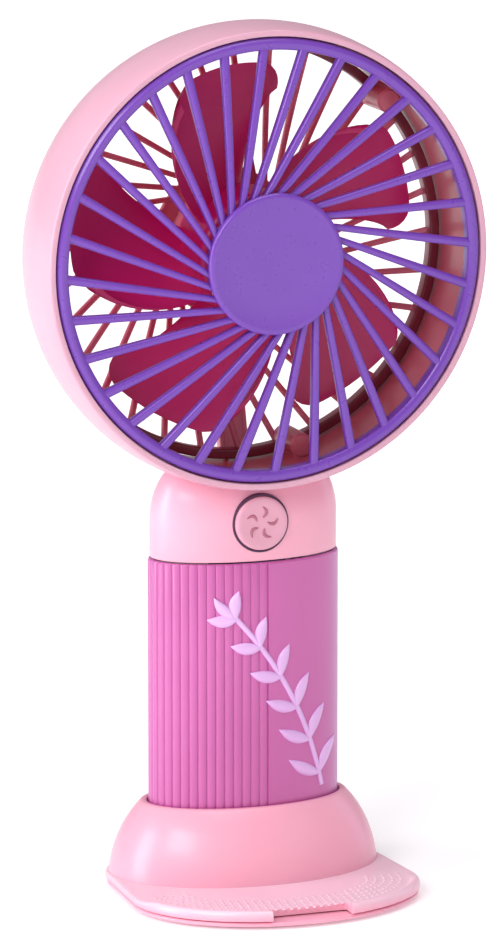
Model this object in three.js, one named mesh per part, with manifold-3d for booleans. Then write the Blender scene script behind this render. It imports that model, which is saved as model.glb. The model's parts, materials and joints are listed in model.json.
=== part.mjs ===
// A hand-held electric fan that stands in a cap-shaped desk stand.
// Millimetres. +Z is up and -Y is the front. The origin is on the handle's axis, on the table.
import * as THREE from "three";
import { mergeVertices } from "three/addons/utils/BufferGeometryUtils.js";
import Module from "manifold-3d";

const wasm = await Module();
wasm.setup();

// ---------------------------------------------------------------- clearances
const GAP = 0.3; // between pieces that touch or are screwed together
const RUN = 0.1; // radial clearance of the shaft in its bushes and in the impeller
const SOCKET_PLAY = 0.4; // between the handle and the stand's socket

// ---------------------------------------------------------------- stand
const PAD_THICKNESS = 0.4;
const PLATE_THICKNESS = 0.9;
const STAND_WALL = 1.8;
const DOME_HEIGHT = 18.9; // table to the rim of the socket
const DOME_FLARE = 9; // how far the dome's foot stands out from the handle
const DOME_LEDGE = 0.4; // small step round the dome's foot
const DOME_RIM = 1.6; // how far the rim stands out from the handle
const BRIM_HEIGHT = 3.4; // table to the top of the brim
const BRIM_HALF_WIDTH = 32;
const BRIM_LENGTH = 24; // front of the brim, forward of its centre
const BRIM_CENTRE_Y = -20;
const BRIM_LIP_HEIGHT = 0.7;
const BRIM_LIP_WIDTH = 2;
const NOTCH_WIDTH = 18;
const NOTCH_DEPTH = 5;
const SOCKET_FLOOR_Z = 6.3;
const SOCKET_WALL = 1.4;
const STAND_BOSS_OFFSET = 3.9; // screw circle, out from the handle's surface
const STAND_BOSS_RADIUS = 2.4;
const STAND_BOSS_HEIGHT = 8;
const SEAT_HEIGHT = 1.5; // raised seats on the plate under the bosses
const SEAT_RECESS = 0.6; // how far the screw heads sink into the seats

// ---------------------------------------------------------------- handle
const HANDLE_HALF_WIDTH = 21.4;
const HANDLE_HALF_DEPTH = 11.7;
const END_CAP_THICKNESS = 1.2;
const SPIGOT_HEIGHT = 1;
const SLEEVE_LENGTH = 64.2;
const SLEEVE_WALL = 1;
const FLUTE_COUNT = 55; // pitch of a full turn; the smooth panel leaves some out
const FLUTE_DEPTH = 0.35;
const PANEL_START = 0.245; // smooth panel, as turns from the +X side, over the front
const PANEL_END = 0.01;
const CHASSIS_WALL = 0.8;
const TONGUE_HEIGHT = 8.5; // chassis tongues that reach up into the collar
const CELL_RADIUS = 9.2;
const CELL_LENGTH = 65;
const TAB_THICKNESS = 0.2;
const ORNAMENT_HEIGHT = 0.6;
const ORNAMENT_SEAT = 0.15;

// ---------------------------------------------------------------- collar and switch
const COLLAR_HEIGHT = 15.8; // sleeve to the lowest point of the head
const COLLAR_INSET = 0.4; // the collar is a little slimmer than the sleeve
const COLLAR_WALL = 1.4;
const BUTTON_RADIUS = 5.5;
const BUTTON_ABOVE_SLEEVE = 8.3;
const BUTTON_PROUD = 0.6;
const BUTTON_TRAVEL = 0.5;
const BEZEL_WIDTH = 0.5;
const FLANGE_WIDTH = 1.1; // how far the button's flange stands out behind the bezel
const FLANGE_THICKNESS = 0.7;
const BOARD_WIDTH = 22;
const BOARD_THICKNESS = 1.2;
const BOARD_FRONT_Y = 1;
const SWITCH_SIDE = 6;
const SWITCH_DEPTH = 3.5;
const PLUNGER_RADIUS = 1.7;
const USB_HALF_WIDTH = 4.5;
const USB_HALF_HEIGHT = 1.6;

// ---------------------------------------------------------------- head
const HEAD_RADIUS = 50;
const HEAD_DEPTH = 22.5;
const HEAD_FRONT_Y = -17.1;
const HEAD_STRAIGHT = 9; // straight part of the shell behind its front edge
const HEAD_REAR_RADIUS = 47.8;
const SHELL_RIM = 2.2; // shell outside the front grille
const SHELL_WALL = 1.4;
const SHELL_LEDGE = 1.3; // step that the front grille seats on
const GRILLE_THICKNESS = 3.1;
const GRILLE_RING_WIDTH = 2.6;
const SPOKE_COUNT = 32;
const SPOKE_PHASE = 1.3; // degrees, the first spoke's ring end from +X
const SPOKE_TWIST = 31; // degrees from a spoke's ring end to its hub end
const FRONT_SPOKE = { outer: 1.9, inner: 1.3, depth: 2 };
const REAR_SPOKE = { outer: 1.3, inner: 1.1, depth: 1.3 };
const FRONT_DISHING = 2.6; // the front grille's hub stands forward of its ring
const HUB_RADIUS = 15.1;
const BADGE_THICKNESS = 1.1;
const REAR_DISHING = 8; // the rear grille's hub stands behind its ring
const REAR_RING_WIDTH = 2.2;
const REAR_RING_DEPTH = 3;
const REAR_HUB_RADIUS = 16;
const REAR_HUB_THICKNESS = 1.4;
const REAR_CAP_RADIUS = 14.8;
const CHANNEL_WIDTH = 6.4; // lead channel in the rear grille
const CHANNEL_DEPTH = 2.8;
const CHANNEL_WALL = 1;
const CHANNEL_FLOOR = 0.8;
const HEAD_SCREW_ANGLES = [45, 165, 285];
const HEAD_BOSS_RADIUS = 2.6;

// ---------------------------------------------------------------- impeller and motor
const BLADE_COUNT = 5;
const BLADE_TIP_RADIUS = 39.8;
const BLADE_TIP_ANGLE = 23.5; // middle of a blade's tip, degrees from +X towards +Z
const BLADE_SWEEP = 23; // root ahead of tip, degrees
const BLADE_TIP_HALF = 21; // half width of a blade, degrees
const BLADE_ROOT_HALF = 31;
const BLADE_CORNER = 5; // rounding of the tip corners
const BLADE_THICKNESS = 1.3;
const BLADE_HALF_DEPTH = 5.2;
const BLADE_MID_Y = -1;
const IMPELLER_HUB_RADIUS = 13.6;
const IMPELLER_HUB_WALL = 1.5;
const IMPELLER_FRONT_Y = -11;
const IMPELLER_REAR_Y = 5;
const MOTOR_RADIUS = 10.5;
const MOTOR_FRONT_Y = -5.5;
const MOTOR_LENGTH = 14;
const MOTOR_WALL = 0.8;
const MAGNET_THICKNESS = 1.8;
const BELL_THICKNESS = 2.4;
const SHAFT_RADIUS = 1;
const BUSH_RADIUS = 2.4;
const BUSH_LENGTH = 2;
const LEAD_RADIUS = 0.6;
const LEAD_SPACING = 2.6;
const SHAFT_OFFSET = 1.6; // the leads' way down, behind the head shell

// ---------------------------------------------------------------- screws
const SCREW = { head: 1.8, headHeight: 1, shank: 0.8 };
const BIG = 36; // facets of the large round pieces
const SMALL = 12; // facets of the small round pieces

// ---------------------------------------------------------------- derived places
const PLATE_BOTTOM_Z = PAD_THICKNESS + GAP;
const PLATE_TOP_Z = PLATE_BOTTOM_Z + PLATE_THICKNESS;
const CAP_BOTTOM_Z = PLATE_TOP_Z + GAP;
const HANDLE_BOTTOM_Z = SOCKET_FLOOR_Z + GAP;
const SLEEVE_BOTTOM_Z = HANDLE_BOTTOM_Z + END_CAP_THICKNESS + GAP;
const SLEEVE_TOP_Z = SLEEVE_BOTTOM_Z + SLEEVE_LENGTH;
const COLLAR_BOTTOM_Z = SLEEVE_TOP_Z + GAP;
const HEAD_Z = COLLAR_BOTTOM_Z + COLLAR_HEIGHT + HEAD_RADIUS;
const HEAD_REAR_Y = HEAD_FRONT_Y + HEAD_DEPTH;
const CELL_BOTTOM_Z = HANDLE_BOTTOM_Z + END_CAP_THICKNESS + SPIGOT_HEIGHT + TAB_THICKNESS + 2 * GAP;
const CELL_TOP_Z = CELL_BOTTOM_Z + CELL_LENGTH;
const CHASSIS_OUT = -SLEEVE_WALL - FLUTE_DEPTH - GAP + 0.15;
const CHASSIS_IN = CHASSIS_OUT - CHASSIS_WALL;
const COLLAR_IN = -COLLAR_INSET - COLLAR_WALL;
const COLLAR_HALF_DEPTH = HANDLE_HALF_DEPTH - COLLAR_INSET;
const BUTTON_Z = COLLAR_BOTTOM_Z + BUTTON_ABOVE_SLEEVE;
const BUTTON_FRONT_Y = -COLLAR_HALF_DEPTH - BUTTON_PROUD;
const FLANGE_FRONT_Y = -HANDLE_HALF_DEPTH - COLLAR_IN + GAP + 0.8;
const PLUNGER_FRONT_Y = FLANGE_FRONT_Y + FLANGE_THICKNESS + GAP;
const SWITCH_BACK_Y = BOARD_FRONT_Y - GAP;
const BOARD_BOTTOM_Z = CELL_TOP_Z + TAB_THICKNESS + 2 * GAP;
const BOARD_TOP_Z = COLLAR_BOTTOM_Z + COLLAR_HEIGHT - COLLAR_WALL - 1.6;
const GRILLE_RADIUS = HEAD_RADIUS - SHELL_RIM - GAP;
const GRILLE_INNER_RADIUS = GRILLE_RADIUS - GRILLE_RING_WIDTH;
const GRILLE_BACK_Y = HEAD_FRONT_Y + GRILLE_THICKNESS;
const REAR_GRILLE_RADIUS = HEAD_REAR_RADIUS - SHELL_WALL - GAP;
const REAR_HUB_Y = HEAD_REAR_Y + REAR_DISHING;
const HEAD_SCREW_RADIUS = REAR_GRILLE_RADIUS - REAR_RING_WIDTH;
const MOTOR_REAR_Y = MOTOR_FRONT_Y + MOTOR_LENGTH;

// ---------------------------------------------------------------- solids
// A closed geometry as a solid: shared corners merged and flat triangles dropped.
function solid(geometry) {
  const bare = geometry.clone();
  bare.deleteAttribute("normal");
  bare.deleteAttribute("uv");
  const merged = mergeVertices(bare);
  const corners = merged.index.array;
  const kept = [];
  for (let i = 0; i < corners.length; i += 3) {
    const [a, b, c] = corners.slice(i, i + 3);
    if (a !== b && b !== c && c !== a) kept.push(a, b, c);
  }
  const vertProperties = Float32Array.from(merged.attributes.position.array);
  return new wasm.Manifold(
    new wasm.Mesh({ numProp: 3, vertProperties, triVerts: Uint32Array.from(kept) }),
  );
}

function join(...solids) {
  return solids.reduce((all, next) => all.add(next));
}

function cut(base, ...tools) {
  return tools.reduce((left, tool) => left.subtract(tool), base);
}

function block([x0, x1], [y0, y1], [z0, z1]) {
  const box = new THREE.BoxGeometry(x1 - x0, y1 - y0, z1 - z0);
  return solid(box.translate((x0 + x1) / 2, (y0 + y1) / 2, (z0 + z1) / 2));
}

// Round bar along Y, from y0 to y1.
function rodY(radius, y0, y1, x = 0, z = 0, segments = SMALL) {
  const bar = new THREE.CylinderGeometry(radius, radius, y1 - y0, segments);
  return solid(bar.translate(x, (y0 + y1) / 2, z));
}

// Round bar along Z, from z0 to z1.
function rodZ(radius, z0, z1, x = 0, y = 0, segments = SMALL) {
  const bar = new THREE.CylinderGeometry(radius, radius, z1 - z0, segments);
  return solid(bar.rotateX(Math.PI / 2).translate(x, y, (z0 + z1) / 2));
}

// Profile points run anticlockwise, with the axis on their left. One off the axis closes on itself.
function lathe(profile, segments) {
  const points = profile.map(([r, h]) => new THREE.Vector2(r, h));
  if (THREE.ShapeUtils.area(points) < 0) points.reverse();
  if (points[0].x > 0) points.push(points[0].clone());
  return new THREE.LatheGeometry(points, segments);
}

// Turned about the head's axis, which runs along Y.
function turned(profile, segments = BIG) {
  return solid(lathe(profile, segments));
}

// Swept round the handle's oval: each point is [distance out from the handle's surface, z].
function ovalTurned(profile, segments = BIG) {
  const onAxis = -HANDLE_HALF_WIDTH;
  const geometry = lathe(
    profile.map(([out, z]) => [Math.max(out, onAxis) + HANDLE_HALF_WIDTH, z]),
    segments,
  );
  geometry.rotateX(Math.PI / 2);
  const squeeze = HANDLE_HALF_WIDTH - HANDLE_HALF_DEPTH;
  const position = geometry.attributes.position;
  for (let i = 0; i < position.count; i += 1) {
    const radius = Math.hypot(position.getX(i), position.getY(i));
    if (radius > squeeze) position.setY(i, (position.getY(i) * (radius - squeeze)) / radius);
  }
  return solid(geometry);
}

// Oval bar from z0 to z1 whose surface is this far out from the handle's.
function ovalBar(out, z0, z1, segments = BIG) {
  const axis = -HANDLE_HALF_WIDTH;
  return ovalTurned([[axis, z0], [out, z0], [out, z1], [axis, z1]], segments);
}

function prism(shape, z0, z1, curveSegments = 9) {
  const options = { depth: z1 - z0, bevelEnabled: false, curveSegments };
  return solid(new THREE.ExtrudeGeometry(shape, options).translate(0, 0, z0));
}

// A sheet of the given corner grids, front[i][j] and back[i][j], closed along its edges.
function sheetSolid(front, back) {
  const rows = front.length;
  const columns = front[0].length;
  const points = [...front.flat(), ...back.flat()];
  const at = (side, i, j) => side * rows * columns + i * columns + j;
  const index = [];
  const quad = (a, b, c, d) => index.push(a, b, c, a, c, d);
  for (let i = 0; i + 1 < rows; i += 1) {
    for (let j = 0; j + 1 < columns; j += 1) {
      quad(at(0, i, j), at(0, i + 1, j), at(0, i + 1, j + 1), at(0, i, j + 1));
      quad(at(1, i, j), at(1, i, j + 1), at(1, i + 1, j + 1), at(1, i + 1, j));
    }
    quad(at(1, i, 0), at(1, i + 1, 0), at(0, i + 1, 0), at(0, i, 0));
    const last = columns - 1;
    quad(at(0, i, last), at(0, i + 1, last), at(1, i + 1, last), at(1, i, last));
  }
  for (let j = 0; j + 1 < columns; j += 1) {
    const end = rows - 1;
    quad(at(0, 0, j), at(0, 0, j + 1), at(1, 0, j + 1), at(1, 0, j));
    quad(at(1, end, j), at(1, end, j + 1), at(0, end, j + 1), at(0, end, j));
  }
  const geometry = new THREE.BufferGeometry().setFromPoints(points);
  geometry.setIndex(index);
  return solid(geometry);
}

// ---------------------------------------------------------------- materials
function plastic(color, roughness = 0.4) {
  return new THREE.MeshStandardMaterial({ color, roughness, metalness: 0 });
}

function metal(color, roughness = 0.35) {
  return new THREE.MeshStandardMaterial({ color, roughness, metalness: 1 });
}

const PINK = plastic(0xf3b6c8);
const PURPLE = plastic(0x8a5cc2, 0.3);
const MAGENTA = plastic(0xd77ab8, 0.3);
const CRIMSON = plastic(0x9c1c48, 0.35);
const LILAC = plastic(0xdcb0e2);
const DARK = plastic(0x4a2a4e);
const WHITE_PLASTIC = plastic(0xe8e4e2, 0.5);
const BLACK_PLASTIC = plastic(0x202022, 0.5);
const RUBBER = plastic(0xc98fa4, 0.85);
const BOARD_GREEN = plastic(0x1f6b45, 0.45);
const CELL_BLUE = plastic(0x2f6fae, 0.4);
const STEEL = metal(0xa9adb2);
const NICKEL = metal(0xc9c6bf, 0.25);
const BRONZE = metal(0xb08246, 0.45);
const COPPER = metal(0xb4683c, 0.4);
const MAGNET = plastic(0x3a3a3e, 0.6);
const LEAD_RED = plastic(0xb3262c, 0.5);
const LEAD_BLACK = plastic(0x1b1b1d, 0.5);

const fan = new THREE.Group();

function add(group, name, shape, material) {
  const mesh = shape.getMesh();
  const geometry = new THREE.BufferGeometry();
  geometry.setAttribute("position", new THREE.Float32BufferAttribute(mesh.vertProperties, 3));
  geometry.setIndex(Array.from(mesh.triVerts));
  geometry.computeVertexNormals();
  const piece = new THREE.Mesh(geometry, material);
  piece.name = name;
  group.add(piece);
}

// Pan-head screw with its head's underside at the origin and its shank along -Z.
function screw(length) {
  const shank = rodZ(SCREW.shank, -length, 0.1, 0, 0, 6);
  return join(shank, rodZ(SCREW.head, 0, SCREW.headHeight, 0, 0, 10));
}

// ---------------------------------------------------------------- stand
function standOutline(inset) {
  const shape = new THREE.Shape();
  const foot = DOME_FLARE + DOME_LEDGE - inset;
  const footWidth = HANDLE_HALF_WIDTH + foot;
  const footDepth = HANDLE_HALF_DEPTH + foot;
  shape.absellipse(0, 0, footWidth, footDepth, 0, Math.PI);
  const brimWidth = BRIM_HALF_WIDTH - inset;
  shape.absellipse(0, BRIM_CENTRE_Y, brimWidth, BRIM_LENGTH - inset, Math.PI, 2 * Math.PI);
  shape.closePath();
  return shape;
}

// The dome's side, from its foot up to the rim of the socket, moved in by a wall.
function domeProfile(inset, top) {
  const side = new THREE.QuadraticBezierCurve(
    new THREE.Vector2(DOME_FLARE, 0),
    new THREE.Vector2(DOME_FLARE - 0.4, DOME_HEIGHT * 0.63),
    new THREE.Vector2(DOME_RIM, DOME_HEIGHT),
  );
  const points = side.getPoints(6).filter((p) => p.y >= CAP_BOTTOM_Z && p.y <= top);
  const low = [points[0].x - inset, CAP_BOTTOM_Z - inset];
  return [low, ...points.map((p) => [p.x - inset, p.y])];
}

function closedDome(inset, top) {
  const profile = domeProfile(inset, top);
  const axis = -HANDLE_HALF_WIDTH;
  return ovalTurned([[axis, profile[0][1]], ...profile, [axis, profile.at(-1)[1]]]);
}

function standScrewPlaces() {
  const x = HANDLE_HALF_WIDTH + STAND_BOSS_OFFSET;
  const y = HANDLE_HALF_DEPTH + STAND_BOSS_OFFSET;
  return [[x, 0], [0, y], [-x, 0], [0, -y]];
}

function makeStandCap() {
  const notchFront = BRIM_CENTRE_Y - BRIM_LENGTH;
  const lipTop = BRIM_HEIGHT + BRIM_LIP_HEIGHT;
  const brim = cut(
    prism(standOutline(0), CAP_BOTTOM_Z, lipTop),
    prism(standOutline(BRIM_LIP_WIDTH), BRIM_HEIGHT, lipTop + 1),
    block([-60, 60], [BRIM_CENTRE_Y - 4, 60], [BRIM_HEIGHT, lipTop + 1]),
  );
  const outer = join(closedDome(0, DOME_HEIGHT), brim);
  const socketOut = SOCKET_PLAY + SOCKET_WALL;
  const bossBottom = PLATE_TOP_Z + SEAT_HEIGHT + GAP;
  const bosses = standScrewPlaces().map(([x, y]) =>
    rodZ(STAND_BOSS_RADIUS, bossBottom, bossBottom + STAND_BOSS_HEIGHT, x, y),
  );
  const holes = standScrewPlaces().map(([x, y]) =>
    rodZ(SCREW.shank + GAP, 0, bossBottom + STAND_BOSS_HEIGHT - 1, x, y),
  );
  const hull = closedDome(0.2, DOME_HEIGHT);
  return cut(
    join(
      cut(outer, closedDome(STAND_WALL, DOME_HEIGHT * 0.75)),
      ovalBar(socketOut, SOCKET_FLOOR_Z - SOCKET_WALL, DOME_HEIGHT * 0.8),
      ...bosses.map((boss) => boss.intersect(hull)),
    ),
    ovalBar(SOCKET_PLAY, SOCKET_FLOOR_Z, DOME_HEIGHT + 1),
    ...holes,
    block(
      [-NOTCH_WIDTH / 2, NOTCH_WIDTH / 2],
      [notchFront - 1, notchFront + NOTCH_DEPTH],
      [0, lipTop + 1],
    ),
  );
}

function makeStandPlate() {
  const seats = standScrewPlaces().map(([x, y]) =>
    rodZ(SCREW.head + 1.1, PLATE_TOP_Z - 0.2, PLATE_TOP_Z + SEAT_HEIGHT, x, y),
  );
  const counterbores = standScrewPlaces().map(([x, y]) =>
    rodZ(SCREW.head + GAP, 0, PLATE_TOP_Z + SEAT_RECESS, x, y),
  );
  const holes = standScrewPlaces().map(([x, y]) => rodZ(SCREW.shank + GAP, 0, 9, x, y));
  const inside = closedDome(STAND_WALL + GAP, DOME_HEIGHT);
  return cut(
    join(
      prism(standOutline(GAP), PLATE_BOTTOM_Z, PLATE_TOP_Z),
      ...seats.map((seat) => seat.intersect(inside)),
    ),
    ...counterbores,
    ...holes,
  );
}

function addStand() {
  const stand = new THREE.Group();
  add(stand, "stand_cap", makeStandCap(), PINK);
  add(stand, "stand_base_plate", makeStandPlate(), PINK);
  add(stand, "stand_foot_pad", prism(standOutline(2.5), 0, PAD_THICKNESS), RUBBER);
  standScrewPlaces().forEach(([x, y], i) => {
    const group = new THREE.Group();
    group.position.set(x, y, PLATE_TOP_Z + SEAT_RECESS - GAP);
    group.rotation.x = Math.PI;
    add(group, `stand_screw_${i + 1}`, screw(SEAT_HEIGHT - SEAT_RECESS + GAP + 4), STEEL);
    stand.add(group);
  });
  fan.add(stand);
}

// ---------------------------------------------------------------- handle
// The sleeve's outline: upright flutes all round, but for the smooth panel at the front right.
function sleeveOutline() {
  const oval = new THREE.EllipseCurve(0, 0, HANDLE_HALF_WIDTH, HANDLE_HALF_DEPTH);
  oval.arcLengthDivisions = 800;
  const points = [];
  const put = (turn, depth) => {
    const p = oval.getPointAt(((turn % 1) + 1) % 1);
    const inward = new THREE.Vector2(p.x / HANDLE_HALF_WIDTH ** 2, p.y / HANDLE_HALF_DEPTH ** 2);
    points.push(p.sub(inward.normalize().multiplyScalar(depth)));
  };
  const panelFrom = Math.round((1 - PANEL_START) * FLUTE_COUNT);
  const panelTo = Math.round((1 - PANEL_END) * FLUTE_COUNT);
  for (let i = 0; i < FLUTE_COUNT; i += 1) {
    const smooth = i >= panelFrom && i < panelTo;
    put(i / FLUTE_COUNT, smooth && i > panelFrom ? 0 : FLUTE_DEPTH);
    put((i + 0.25) / FLUTE_COUNT, 0);
    if (!smooth) put((i + 0.75) / FLUTE_COUNT, 0);
  }
  return new THREE.Shape(points);
}

function makeSleeve() {
  const body = prism(sleeveOutline(), SLEEVE_BOTTOM_Z, SLEEVE_TOP_Z);
  return cut(body, ovalBar(CHASSIS_OUT + GAP, SLEEVE_BOTTOM_Z - 1, SLEEVE_TOP_Z + 1));
}

// One pointed leaf, in the X-Z plane, growing from the origin along +X.
function leafShape(length, width) {
  const leaf = new THREE.Shape();
  leaf.moveTo(-0.6, 0);
  leaf.quadraticCurveTo(length * 0.45, width, length, 0);
  leaf.quadraticCurveTo(length * 0.45, -width, -0.6, 0);
  return leaf;
}

// Upright slab of a shape drawn in the X-Z plane, through the front half of the handle.
function frontSlab(shape, angle, x, z) {
  const depth = HANDLE_HALF_DEPTH + 3;
  const slab = new THREE.ExtrudeGeometry(shape, { depth, bevelEnabled: false, curveSegments: 3 });
  slab.rotateZ(angle).rotateX(Math.PI / 2);
  return solid(slab.translate(x, 0, z));
}

// A sprig of leaves that climbs across the smooth panel.
function makeOrnament() {
  const low = new THREE.Vector2(HANDLE_HALF_WIDTH * 0.7, SLEEVE_BOTTOM_Z + SLEEVE_LENGTH * 0.21);
  const high = new THREE.Vector2(-HANDLE_HALF_WIDTH * 0.4, SLEEVE_BOTTOM_Z + SLEEVE_LENGTH * 0.86);
  const bend = new THREE.Vector2(low.x * 0.62, (low.y + high.y) / 2 + 3);
  const stem = new THREE.QuadraticBezierCurve(low, bend, high);
  const pairs = 5;
  const leaves = [];
  for (let i = 0; i <= pairs; i += 1) {
    const along = 0.06 + (0.86 * i) / pairs;
    const foot = stem.getPoint(along);
    const heading = stem.getTangent(along).angle();
    const length = 8.4 - 3.2 * along;
    for (const side of [-1, 1]) {
      const leaf = leafShape(length, 2.1);
      leaves.push(frontSlab(leaf, heading + side * 0.85, foot.x, foot.y));
    }
  }
  const tip = stem.getPoint(0.93);
  leaves.push(frontSlab(leafShape(6, 1.9), stem.getTangent(1).angle(), tip.x, tip.y));
  const steps = 6;
  const line = stem.getPoints(steps);
  const left = line.map((p, i) => offsetPoint(stem, i / steps, p, 0.45));
  const right = line.map((p, i) => offsetPoint(stem, i / steps, p, -0.45));
  const stemSlab = frontSlab(new THREE.Shape([...right, ...left.reverse()]), 0, 0, 0);
  const skin = cut(
    ovalBar(ORNAMENT_SEAT + ORNAMENT_HEIGHT, SLEEVE_BOTTOM_Z, SLEEVE_TOP_Z, 60),
    ovalBar(ORNAMENT_SEAT, SLEEVE_BOTTOM_Z - 1, SLEEVE_TOP_Z + 1, 60),
    block([-99, 99], [0, 99], [0, 999]),
  );
  return join(stemSlab, ...leaves).intersect(skin);
}

function offsetPoint(curve, along, point, distance) {
  const tangent = curve.getTangent(along);
  return new THREE.Vector2(point.x - tangent.y * distance, point.y + tangent.x * distance);
}

const CHASSIS_SCREW_X = CELL_RADIUS + 5.6;
const CHASSIS_SCREW_LEVELS = [0.18, 0.88]; // along the sleeve
const CHASSIS_BOSS_RADIUS = 2.3;
const CHASSIS_SCREW_REACH = (CHASSIS_SCREW_X + SCREW.head) / (HANDLE_HALF_WIDTH + CHASSIS_OUT);
const CHASSIS_SCREW_ROOM = (HANDLE_HALF_DEPTH + CHASSIS_OUT) * Math.sqrt(1 - CHASSIS_SCREW_REACH ** 2);
const CHASSIS_SCREW_SEAT_Y = CHASSIS_SCREW_ROOM - SCREW.headHeight - GAP;

function chassisScrewPlaces() {
  return CHASSIS_SCREW_LEVELS.flatMap((level) =>
    [-1, 1].map((side) => [side * CHASSIS_SCREW_X, SLEEVE_BOTTOM_Z + SLEEVE_LENGTH * level]),
  );
}

// Inner frame that carries the cell; its tongues reach up into the collar at both sides.
function makeChassis() {
  const top = COLLAR_BOTTOM_Z + TONGUE_HEIGHT;
  const step = SLEEVE_TOP_Z - 1;
  const tongueOut = COLLAR_IN - GAP;
  const tongueIn = tongueOut - CHASSIS_WALL;
  const shell = ovalTurned([
    [CHASSIS_OUT, SLEEVE_BOTTOM_Z],
    [CHASSIS_OUT, step],
    [tongueOut, step],
    [tongueOut, top],
    [tongueIn, top],
    [tongueIn, step - 1],
    [CHASSIS_IN, step - 1.8],
    [CHASSIS_IN, SLEEVE_BOTTOM_Z],
  ]);
  const clear = CELL_RADIUS + 1.6;
  const window = block([-clear, clear], [-99, 99], [step - 2.2, top + 1]);
  const inside = ovalBar(CHASSIS_OUT - 0.2, SLEEVE_BOTTOM_Z, SLEEVE_TOP_Z);
  const bosses = chassisScrewPlaces().map(([x, z]) =>
    rodY(CHASSIS_BOSS_RADIUS, -HANDLE_HALF_DEPTH, HANDLE_HALF_DEPTH, x, z).intersect(inside),
  );
  const holes = chassisScrewPlaces().map(([x, z]) =>
    rodY(SCREW.shank + GAP, -CHASSIS_SCREW_SEAT_Y, HANDLE_HALF_DEPTH, x, z),
  );
  const counterbores = chassisScrewPlaces().map(([x, z]) =>
    rodY(SCREW.head + 0.2, CHASSIS_SCREW_SEAT_Y, HANDLE_HALF_DEPTH, x, z),
  );
  return cut(join(cut(shell, window), ...bosses), ...holes, ...counterbores);
}

function makeEndCap() {
  const flangeTop = HANDLE_BOTTOM_Z + END_CAP_THICKNESS;
  return join(
    ovalBar(-0.2, HANDLE_BOTTOM_Z, flangeTop),
    ovalBar(CHASSIS_IN - GAP, flangeTop - 0.2, flangeTop + SPIGOT_HEIGHT),
  );
}

function makeCell() {
  const shoulder = CELL_TOP_Z - 0.6;
  return join(
    rodZ(CELL_RADIUS, CELL_BOTTOM_Z, shoulder, 0, 0, 32),
    rodZ(3.2, shoulder - 0.2, CELL_TOP_Z),
  );
}

// Insulated lead along a smooth route.
function lead(route) {
  const path = new THREE.CatmullRomCurve3(route.map((p) => new THREE.Vector3(...p)));
  const section = new THREE.Shape().absarc(0, 0, LEAD_RADIUS, 0, 2 * Math.PI);
  const steps = Math.ceil(path.getLength() / 4.5);
  const options = { steps, extrudePath: path, curveSegments: 3 };
  return solid(new THREE.ExtrudeGeometry(section, options));
}

function addHandle() {
  const handle = new THREE.Group();
  const ahead = block([-99, 99], [-GAP / 2, 99], [-9, 999]);
  const behind = block([-99, 99], [-99, GAP / 2], [-9, 999]);
  const chassis = makeChassis();
  add(handle, "handle_sleeve", makeSleeve(), MAGENTA);
  add(handle, "sleeve_ornament", makeOrnament(), LILAC);
  add(handle, "chassis_front", cut(chassis, ahead), WHITE_PLASTIC);
  add(handle, "chassis_rear", cut(chassis, behind), WHITE_PLASTIC);
  chassisScrewPlaces().forEach(([x, z], i) => {
    const group = new THREE.Group();
    group.position.set(x, CHASSIS_SCREW_SEAT_Y + GAP, z);
    group.rotation.x = -Math.PI / 2;
    add(group, `chassis_screw_${i + 1}`, screw(2 * CHASSIS_SCREW_SEAT_Y - GAP), STEEL);
    handle.add(group);
  });
  add(handle, "handle_end_cap", makeEndCap(), PINK);
  add(handle, "battery_cell", makeCell(), CELL_BLUE);
  const tabSide = CELL_RADIUS + 1.6;
  const lowTab = CELL_BOTTOM_Z - GAP - TAB_THICKNESS;
  const highTab = CELL_TOP_Z + GAP;
  add(
    handle,
    "cell_tab_negative",
    block([-3, tabSide], [-2, 2], [lowTab, lowTab + TAB_THICKNESS]),
    NICKEL,
  );
  add(
    handle,
    "cell_tab_positive",
    block([-tabSide, 3], [-2, 2], [highTab, highTab + TAB_THICKNESS]),
    NICKEL,
  );
  const boardFoot = BOARD_BOTTOM_Z - GAP - LEAD_RADIUS;
  const leadX = tabSide + 0.6;
  add(
    handle,
    "cell_lead_black",
    lead([
      [leadX, -1, lowTab + GAP + TAB_THICKNESS],
      [leadX, -1, CELL_BOTTOM_Z + 20],
      [leadX, -1, CELL_TOP_Z - 12],
      [leadX - 0.4, -0.6, boardFoot],
    ]),
    LEAD_BLACK,
  );
  add(
    handle,
    "cell_lead_red",
    lead([
      [-leadX - 0.4, -0.6, highTab - 1],
      [-leadX - 0.4, -0.9, highTab + 2],
      [-leadX + 0.6, -0.4, highTab + 4.5],
    ]),
    LEAD_RED,
  );
  fan.add(handle);
}

// ---------------------------------------------------------------- collar, button and electronics
// Everything that the head fills, with a gap round it.
function headEnvelope() {
  const rear = REAR_HUB_Y + REAR_HUB_THICKNESS + GAP;
  return turned([
    [0, HEAD_FRONT_Y - GAP],
    ...shellSide(GAP),
    [REAR_GRILLE_RADIUS + GAP, HEAD_REAR_Y + CHANNEL_DEPTH],
    [REAR_HUB_RADIUS + GAP, rear + CHANNEL_DEPTH / 2],
    [0, rear + CHANNEL_DEPTH / 2],
  ]);
}

// The shell's outer side from front to rear, moved out by a distance.
function shellSide(out) {
  const bulge = new THREE.QuadraticBezierCurve(
    new THREE.Vector2(HEAD_RADIUS, HEAD_FRONT_Y + HEAD_STRAIGHT),
    new THREE.Vector2(HEAD_RADIUS, HEAD_FRONT_Y + (HEAD_STRAIGHT + HEAD_DEPTH) / 2),
    new THREE.Vector2(HEAD_REAR_RADIUS, HEAD_REAR_Y),
  );
  const points = bulge.getPoints(4).map((p) => [p.x + out, p.y]);
  return [[HEAD_RADIUS + out, HEAD_FRONT_Y - out], ...points];
}

const NECK_SCREW_X = 10;
const NECK_SCREW_Y = -5;
const NECK_SCREW_SEAT = 2.6; // above the lowest point of the head shell

function neckScrewPlaces() {
  return [-NECK_SCREW_X, NECK_SCREW_X];
}

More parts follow.
